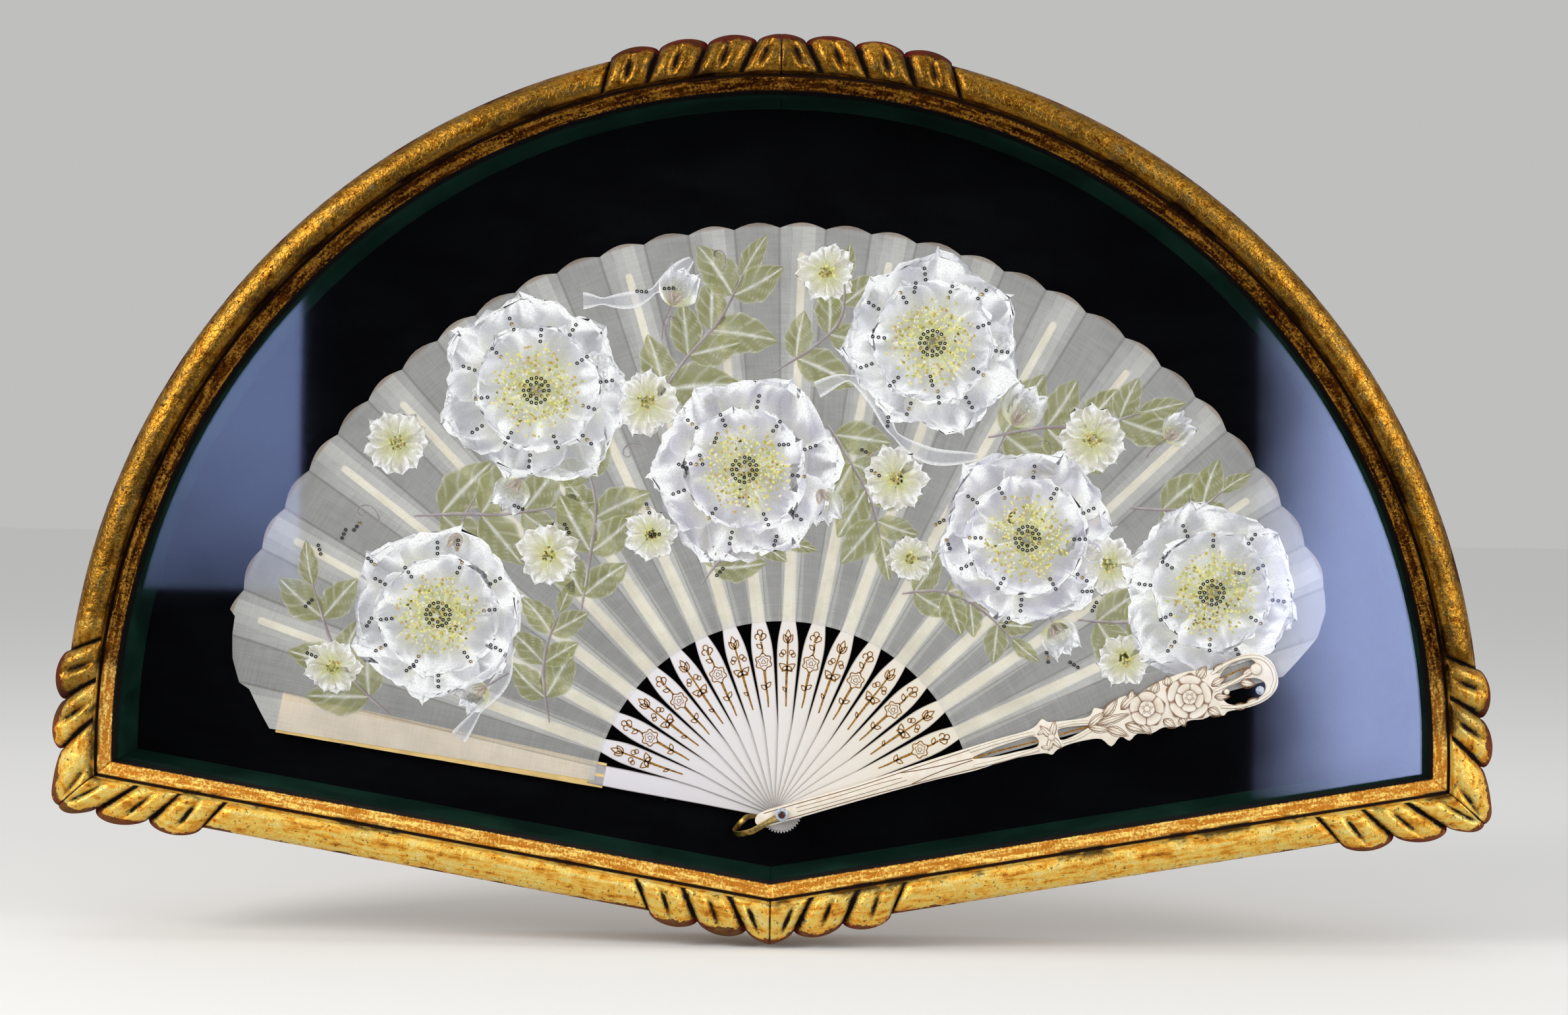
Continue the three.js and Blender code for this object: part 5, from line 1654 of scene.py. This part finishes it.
def dab(bm, spot, radius, layer, colour):
    made = bmesh.ops.create_circle(bm, cap_ends=True, segments=6, radius=radius)
    paint = bm.verts.layers.float_color.get("paint")
    turn = chance.uniform(0, pi)
    for vert in made["verts"]:
        x, z = beside_line(spot.x, spot.y, turn, vert.co.x * 1.35, vert.co.y)
        vert.co = (x, -PAINT_LIFT * layer, z)
        vert[paint] = (*colour, DAB_COVER)


def stipple(bm, centre, inner, outer, count, layer, shades, size=(0.35, 0.75)):
    """Dots of thick paint in a ring, closest in its middle."""
    for _ in range(count):
        turn = chance.uniform(0, 2 * pi)
        reach = blend_of(inner, outer, (chance.random() + chance.random()) / 2)
        spot = centre + toward(turn) * reach
        dab(bm, spot, chance.uniform(*size), layer, chance.choice(shades))


def brush_line(bm, points, width, layer, cover=0.85, steps=7):
    """A brown brush stroke that thins at both ends, with a lit upper edge."""
    run = curve_through(points, steps)
    last = len(run) - 1
    seed = chance.uniform(0, 50)

    def where(u, v):
        k = round(u * last)
        swell = 0.35 + 0.65 * sin(pi * clamp(0.12 + 0.8 * u))
        swell += 0.25 * noise.noise(Vector((k * 0.4, seed, 0)))
        return beside_run(run, k, (v - 0.5) * width * swell)

    def shade(u, v):
        light = 0.5 + 0.5 * noise.noise(Vector((u * last * 0.5, v, seed)))
        return (*mixed_colour(LILAC_BROWN, LIT, 0.85 * light * v), cover)

    painted(bm, last, 3, layer, where, shade)


def painted_leaf(bm, base, direction, length, width, layer, colour=LEAF_GREEN):
    seed = chance.uniform(0, 50)
    bend = chance.uniform(-0.18, 0.18)

    def where(u, v):
        across = 2 * u - 1
        tooth = 0.1 * abs(sin(11 * v)) + 0.1 * noise.noise(Vector((v * 5, across, seed)))
        half = 0.5 * width * sin(pi * v ** 0.8) ** 0.85 * (0.95 + tooth)
        off = across * half + bend * length * v * v
        return beside_line(base.x, base.y, direction, length * v, off)

    def shade(u, v):
        across = 2 * u - 1
        vein = exp(-((across / 0.1) ** 2)) * 0.9
        ribs = clamp((sin(24 * v - 8 * abs(across)) - 0.75) * 3.0) * 0.6
        grain = noise.noise(Vector((across * 2, v * 3, seed)))
        dark = mixed_colour(colour, OLIVE, 0.35 + 0.8 * grain)
        edge = ease((abs(across) - 0.8) / 0.2) * 0.35
        share = clamp(vein * 0.7 + ribs * 0.6 + edge)
        return (*mixed_colour(dark, LIT, share), clamp(0.62 + 0.3 * grain + 0.3 * share))

    painted(bm, 12, 20, layer, where, shade)


def blossom(bm, angle, reach, radius, petals, tilt, ground):
    """A great open flower with two rounds of petals and a stippled heart."""
    centre = on_leaf(angle, reach)
    for ring, (share, count, layer) in enumerate(((1.0, petals, 3), (0.68, petals - 1, 5))):
        for k in range(count):
            turn = tilt + 0.4 * ring + 2 * pi * k / count + chance.uniform(-0.07, 0.07)
            size = radius * share * chance.uniform(0.92, 1.06)
            width = 6.4 * radius * share / count
            petal(bm, centre, turn, 0.06 * radius, size, width, layer + k % 2, ground, 0.1)
    shades = (PALE_YELLOW, OCHRE, YELLOW_GREEN, PALE_YELLOW, CREAM)
    stipple(bm, centre, 0.1 * radius, 0.5 * radius, 420, 8, shades, (0.4, 0.85))
    stipple(bm, centre, 0.0, 0.13 * radius, 50, 8, (OLIVE, OCHRE, YELLOW_GREEN))


def daisy(bm, angle, reach, radius):
    centre = on_leaf(angle, reach)
    tilt = chance.uniform(0, 1)
    for k in range(DAISY_PETALS):
        turn = tilt + 2 * pi * k / DAISY_PETALS
        size = radius * chance.uniform(0.86, 1.1)
        near, width = 0.16 * radius, radius * 0.5
        petal(bm, centre, turn, near, size, width, 3 + k % 2, CREAM, 0.1, 6, 8)
    stipple(bm, centre, 0.0, 0.28 * radius, 60, 6, (PALE_YELLOW, OCHRE, YELLOW_GREEN, OLIVE))


def bell(bm, angle, reach, heading, length):
    """A hanging bell bud with a calyx."""
    spot = on_leaf(angle, reach)
    direction = radians(heading)
    for spread in (-0.36, 0.36, 0.0):
        petal(bm, spot, direction + spread, 0.0, length, length * 0.6, 3, PETAL, 0.5, 10, 12)
    for spread in (-0.3, 0.3):
        painted_leaf(bm, spot, direction + spread, length * 0.42, length * 0.22, 5, ROSE_PINK)
    back = toward(direction) * -length
    brush_line(bm, [spot, spot + back * 0.5, spot + back * 0.9 + Vector((2, 0))], 1.3, 2)


def leafy_spray(bm, places, pairs, size):
    """A twig with broad leaves on both sides."""
    points = polar_run(places)
    run = curve_through(points, 8)
    for k in range(pairs):
        place = int((k + 0.7) / (pairs + 0.2) * (len(run) - 2))
        along = run[place + 1] - run[place]
        heading = atan2(along.y, along.x)
        for way in (-1, 1):
            length = 1.15 * size * chance.uniform(0.8, 1.15) * (1 - 0.3 * k / pairs)
            turn = heading + way * chance.uniform(0.6, 1.0)
            painted_leaf(bm, run[place], turn, length, length * 0.6, 1 + k % 2)
    tip = run[-1] - run[-2]
    painted_leaf(bm, run[-1], atan2(tip.y, tip.x), size * 0.8, size * 0.36, 1)
    brush_line(bm, points, 1.7, 3)


def tendril(bm, angle, reach, heading, size):
    spot, turn = on_leaf(angle, reach), heading
    points = [spot]
    for k in range(14):
        spot = spot + toward(turn) * size * 0.13 * (1 - k / 18)
        turn += 0.12 + 0.06 * k
        points.append(spot)
    brush_line(bm, points, 0.9, 2, 0.8, 3)


def ribbon_swag(bm, *places):
    """A painted ribbon with light edges and turned shading."""
    run = curve_through(polar_run(places), 14)
    last = len(run) - 1

    def where(u, v):
        twist = 0.35 + 0.65 * abs(cos(2.5 * pi * u))
        return beside_run(run, round(u * last), (v - 0.5) * RIBBON_WIDTH * twist)

    def shade(u, v):
        edge = ease((abs(2 * v - 1) - 0.55) / 0.3)
        fold = 0.5 + 0.5 * cos(5 * pi * u)
        body = mixed_colour(PETAL, LIT, 0.1 + 0.4 * fold)
        return (*mixed_colour(body, LIT, edge), 0.4 + 0.45 * edge)

    painted(bm, last, 8, 2, where, shade)


# Sprays: angle and reach along the twig, pairs of leaves and their size
SPRAYS = (
    (((167, 214), (164, 236), (160, 256), (155, 276)), 3, 30),
    (((160, 132), (152, 144), (146, 152), (139, 158)), 3, 24),
    (((142, 250), (138, 232), (134, 216), (128, 202)), 3, 32),
    (((136, 150), (128, 168), (122, 190), (120, 214)), 4, 30),
    (((110, 128), (104, 138), (98, 144), (90, 142)), 3, 22),
    (((108, 226), (103, 244), (98, 262), (95, 284)), 4, 32),
    (((84, 206), (80, 190), (75, 172), (71, 154)), 4, 30),
    (((92, 232), (87, 246), (84, 262), (84, 282)), 3, 26),
    (((62, 132), (55, 144), (47, 150), (38, 152)), 4, 24),
    (((62, 226), (57, 244), (52, 262), (49, 282)), 4, 32),
    (((34, 186), (31, 200), (29, 214), (28, 226)), 3, 26),
    (((42, 244), (39, 258), (37, 272), (37, 286)), 2, 24),
)
# Swags of ribbon: angle and reach along each
SWAGS = (
    ((168, 176), (161, 168), (154, 164), (147, 172), (141, 186)),
    ((112, 290), (106, 282), (100, 296)),
    ((86, 224), (82, 232), (78, 224), (74, 208), (68, 204), (62, 214)),
)
# Daisies: angle, reach and radius
DAISIES = (
    (137, 282, 18), (133, 184, 17), (109, 228, 18), (86, 286, 16), (72, 186, 18), (51, 256, 19),
    (38, 216, 16), (116, 162, 15), (163, 250, 16), (64, 150, 13), (25, 198, 15),
)
# Bells: angle, reach, heading in degrees and length
BELLS = (
    (140, 226, 250, 24), (103, 274, 70, 22), (84, 172, 285, 20), (60, 238, 60, 24),
    (36, 174, 300, 20), (129, 224, 240, 20), (45, 282, 40, 18), (158, 170, 215, 18),
)
# Tendrils: angle, reach, heading in radians and size
TENDRILS = (
    (160, 196, 2.6, 22), (145, 262, 1.9, 20), (126, 176, 3.4, 20), (111, 204, 2.6, 20),
    (103, 254, 1.4, 22), (89, 158, 0.6, 18), (66, 222, 1.0, 20), (54, 228, 0.8, 20),
    (40, 190, 0.3, 18), (33, 214, 0.2, 18), (97, 288, 1.2, 16), (80, 240, 1.0, 18),
)


def painted_design():
    """The whole painting, flat in the fan's plane and not yet cut at the folds."""
    whole = new_shape("paint")
    for draw, subjects in (
        (leafy_spray, SPRAYS), (ribbon_swag, SWAGS), (tendril, TENDRILS), (bell, BELLS),
        (blossom, BLOSSOMS), (daisy, DAISIES),
    ):
        for details in subjects:
            patch = new_shape("paint")
            draw(patch, *details)
            mesh = bpy.data.meshes.new("patch")
            patch.to_mesh(mesh)
            patch.free()
            whole.from_mesh(mesh)
            bpy.data.meshes.remove(mesh)
    return whole


def cut_at_folds(bm):
    """Cuts the painting where the leaf folds and at each rib."""
    for step in range(-1, 4 * (STICK_COUNT + 1) + 1):
        if step % 4 == 2:
            continue
        angle = radians(REAR_ANGLE - step * FOLD_ANGLE)
        geometry = bm.verts[:] + bm.edges[:] + bm.faces[:]
        bmesh.ops.bisect_plane(
            bm, geom=geometry, dist=0.0001, plane_co=(PIVOT_X, 0, PIVOT_Z),
            plane_no=(-sin(angle), 0, cos(angle)),
        )


def polar(x, z):
    dx, dz = x - PIVOT_X, z - PIVOT_Z
    return degrees(atan2(dz, dx)), hypot(dx, dz)


def gap_of(angle):
    return min(STICK_COUNT, max(0, int((REAR_ANGLE - angle) / STICK_ANGLE)))


def gap_turn(gap, angle):
    """Degrees past the gap's first rib."""
    return REAR_ANGLE - STICK_ANGLE * gap - angle


def marked_by_gap(bm):
    """Notes each face's gap, or -1 where it would lie outside the gauze."""
    gaps = bm.faces.layers.int.new("gap")
    for face in bm.faces:
        centre = face.calc_center_median()
        angle, reach = polar(centre.x, centre.z)
        gap = gap_of(angle)
        rim = rim_reach(gap, gap_turn(gap, angle))
        on_gauze = LEAF_INNER + PAINT_OFF_INNER < reach < rim - PAINT_OFF_RIM
        face[gaps] = gap if on_gauze and PAINT_ANGLES[0] < angle < PAINT_ANGLES[1] else -1


def laid_on_leaf(bm, gap):
    """Moves flat paint or spangles of one gap onto the pleated face."""
    for vert in bm.verts:
        angle, reach = polar(vert.co.x, vert.co.z)
        turn = gap_turn(gap, angle)
        reach = min(reach, rim_reach(gap, turn) - 0.4)
        vert.co.x, vert.co.z = fan_point(angle, reach)
        vert.co.y += leaf_front(gap, turn, reach) - 0.04


def spangle_places():
    """Places of the spangles: rings in the hearts, rows on the petals and rows between."""
    spots = []
    for angle, reach, radius, petals, tilt, _ in BLOSSOMS:
        turns = [(ring, 2 * pi * k / count) for ring, count in HEART_RINGS for k in range(count)]
        for k in range(petals):
            turn = tilt + 2 * pi * k / petals
            turns += [(share + 0.16, turn + 0.24) for share in PETAL_SPANGLES]
            turns += [(share, turn - 0.2) for share in PETAL_SPANGLES]
        spots += [
            on_leaf(angle, reach) + toward(turn) * radius * share for share, turn in turns
        ]
    for _ in range(LOOSE_ROWS):
        angle, reach = chance.uniform(24, 166), chance.uniform(128, 290)
        along = toward(chance.uniform(0, pi)) * LOOSE_PITCH
        spots += [on_leaf(angle, reach) + along * k for k in range(3)]
    return [polar(spot.x, spot.y) for spot in spots]


def spangle(bm, x, z):
    """A dished metal spangle with its hole."""
    made = bmesh.ops.create_circle(bm, cap_ends=True, segments=10, radius=SPANGLE_RADIUS)
    rim = made["verts"]
    face = rim[0].link_faces[0]
    hole = SPANGLE_RADIUS * 0.6
    bmesh.ops.inset_individual(bm, faces=[face], thickness=hole, depth=0.0)
    for verts, lift in ((rim, 0.16), (list(face.verts), 0.04)):
        for vert in verts:
            vert.co = (x + vert.co.x, -PAINT_LIFT * SPANGLE_LAYER - lift, z + vert.co.y)
    bmesh.ops.delete(bm, geom=[face], context="FACES_ONLY")


def spangled(gap, places, name, material, golden):
    """The spangles of one colour in a gap: every eighth is golden."""
    bm = bmesh.new()
    farthest = rim_reach(gap, STICK_ANGLE / 2) - SPANGLE_OFF_RIM
    for k, (angle, reach) in enumerate(places):
        if gap_of(angle) != gap or (k % 8 == 3) != golden:
            continue
        if SPANGLE_ANGLES[0] < angle < SPANGLE_ANGLES[1]:
            if LEAF_INNER + SPANGLE_OFF_INNER < reach < farthest:
                spangle(bm, *fan_point(angle, reach))
    if not bm.verts:
        bm.free()
        return []
    laid_on_leaf(bm, gap)
    spangles = finished(bm, f"{name}_{gap + 1:02d}", material, recalculated=False)
    follows_gap(spangles, gap)
    return [spangles]


def painting_of(gap, whole):
    """The part of the whole painting that lies on one gap."""
    bm = whole.copy()
    gaps = bm.faces.layers.int.get("gap")
    stray = [face for face in bm.faces if face[gaps] != gap]
    bmesh.ops.delete(bm, geom=stray, context="FACES")
    laid_on_leaf(bm, gap)
    painting = finished(bm, f"leaf_painting_{gap + 1:02d}", leaf_painting, recalculated=False)
    follows_gap(painting, gap)
    return painting


leaf_panels = [leaf_panel(gap) for gap in range(STICK_COUNT + 1)]
whole_painting = painted_design()
cut_at_folds(whole_painting)
marked_by_gap(whole_painting)
places = spangle_places()
for gap, panel in enumerate(leaf_panels):
    pieces = [painting_of(gap, whole_painting)]
    pieces += spangled(gap, places, "leaf_black_spangles", black_spangle, False)
    pieces += spangled(gap, places, "leaf_gold_spangles", gold_spangle, True)
    area = sum(polygon.area for polygon in panel.data.polygons)
    spread = STICK_ANGLE / 2 + (END_SPREAD if gap in (0, STICK_COUNT) else 0.0)
whole_painting.free()


# Stage, light and camera: places and sizes in metres

FLOOR_DROP = 0.002
FLOOR_SIZE = (40, 40)
FLOOR_GREY = (0.74, 0.74, 0.73, 1.0)
BACKDROP_GREY = (0.52, 0.52, 0.515, 1.0)
ROOM_LIGHT = 0.66
NO_SIDE_FADE = (-9000.0, -8000.0)


def stage_plane(name, size, place, turn, material):
    bm = bmesh.new()
    bmesh.ops.create_grid(bm, x_segments=1, y_segments=1, size=0.5)
    bmesh.ops.scale(bm, vec=(size[0], size[1], 1), verts=bm.verts)
    bmesh.ops.rotate(bm, cent=(0, 0, 0), matrix=Matrix.Rotation(turn, 3, "X"), verts=bm.verts)
    bmesh.ops.translate(bm, vec=place, verts=bm.verts)
    plane = linked(name, bm, material)
    return plane


def lit_card(name, size, place, colour, strength, fade=None, side_fade=NO_SIDE_FADE):
    """A card of light that only the glass and the metal see.

    It fades out downwards, and to the left, over places in millimetres."""
    card = Finish(name)
    inputs = {"Color": (*colour, 1), "Strength": strength}
    shader = card.node("ShaderNodeEmission", inputs=inputs)
    if fade:
        spot = card.place()
        drift = card.noise(spot, 0.004, 2.0) * 260.0 - 130.0
        share = card.step(card.part(spot, 2) + card.part(spot, 0) * 0.12 + drift, *fade)
        share = share * card.step(card.part(spot, 0) + drift * 0.4, *side_fade)
        clear = card.node("ShaderNodeBsdfTransparent")
        shader = card.node("ShaderNodeMixShader", inputs={0: share, 1: clear, 2: shader})
    plane = stage_plane(name, size, place, pi / 2, card.shown(shader))
    plane.visible_camera = False
    plane.visible_diffuse = False
    plane.visible_shadow = False
    plane.visible_transmission = False


plain = Finish("floor").surface(Base_Color=FLOOR_GREY, Roughness=0.9, Specular_IOR_Level=0.1)
floor = stage_plane("floor", FLOOR_SIZE, (0, 0, cad_box[0][2] - FLOOR_DROP), 0.0, plain)
floor.visible_glossy = False
lit_card("dark_flag", (5.0, 3.4), (0, -3.3, 0), (0.006, 0.006, 0.008), 1.0)
lit_card(
    "window_right", (0.62, 0.92), (1.04, -3.0, 0.0), (0.475, 0.57, 1.0), 9.6,
    (-600.0, -260.0), (690.0, 900.0),
)
lit_card("window_left", (0.5, 0.7), (-0.99, -3.0, 0.19), (0.4, 0.52, 1.0), 4.6, (-460.0, 20.0))


def soft_lamp(name, place, target, size, power, colour=(1.0, 1.0, 1.0)):
    lamp = bpy.data.lights.new(name, "AREA")
    lamp.shape = "RECTANGLE"
    lamp.size, lamp.size_y = size
    lamp.energy = power
    lamp.color = colour
    holder = bpy.data.objects.new(name, lamp)
    holder.location = place
    aim = Vector(target) - Vector(place)
    holder.rotation_euler = aim.to_track_quat("-Z", "Y").to_euler()
    scene.collection.objects.link(holder)


soft_lamp("key", (-1.8, -1.5, 1.1), (0, 0, -0.1), (1.1, 1.1), 46, (1.0, 0.98, 0.95))
soft_lamp("fill", (1.9, -1.6, 0.75), (0, 0, -0.1), (1.3, 1.1), 32)
soft_lamp("top", (0.0, -0.3, 1.9), (0, 0, 0), (1.4, 0.8), 4)

room = Finish("room", "worlds")
lighting = {"Color": (1.0, 1.0, 1.0, 1.0), "Strength": ROOM_LIGHT}
light = room.node("ShaderNodeBackground", inputs=lighting)
backdrop = room.node("ShaderNodeBackground", inputs={"Color": BACKDROP_GREY})
seen = room.node("ShaderNodeLightPath", output="Is Camera Ray")
for ray in ("Glossy", "Transmission"):
    through = room.node("ShaderNodeLightPath", output=f"Is {ray} Ray")
    seen = seen.math("MAXIMUM", seen, through)
either = room.node("ShaderNodeMixShader", inputs={0: seen, 1: light, 2: backdrop})
scene.world = room.shown(either, "ShaderNodeOutputWorld")

scene.view_settings.view_transform = "Standard"
scene.cycles.transparent_max_bounces = 24

CAMERA_PLACE = Vector((4.4, -1564.0, -24.0))
IMAGE_ROLL = 0.77
SENSOR_WIDTH = 36.0
FOCAL_LENGTH = 66.9
camera_data = bpy.data.cameras.new("camera")
camera_data.sensor_width = SENSOR_WIDTH
camera_data.lens = FOCAL_LENGTH
camera = bpy.data.objects.new("camera", camera_data)
camera.matrix_world = (
    Matrix.Translation(CAMERA_PLACE * MM)
    @ Matrix.Rotation(radians(90), 4, "X")
    @ Matrix.Rotation(radians(IMAGE_ROLL), 4, "Z")
)
scene.collection.objects.link(camera)
scene.camera = camera

bpy.context.view_layer.update()
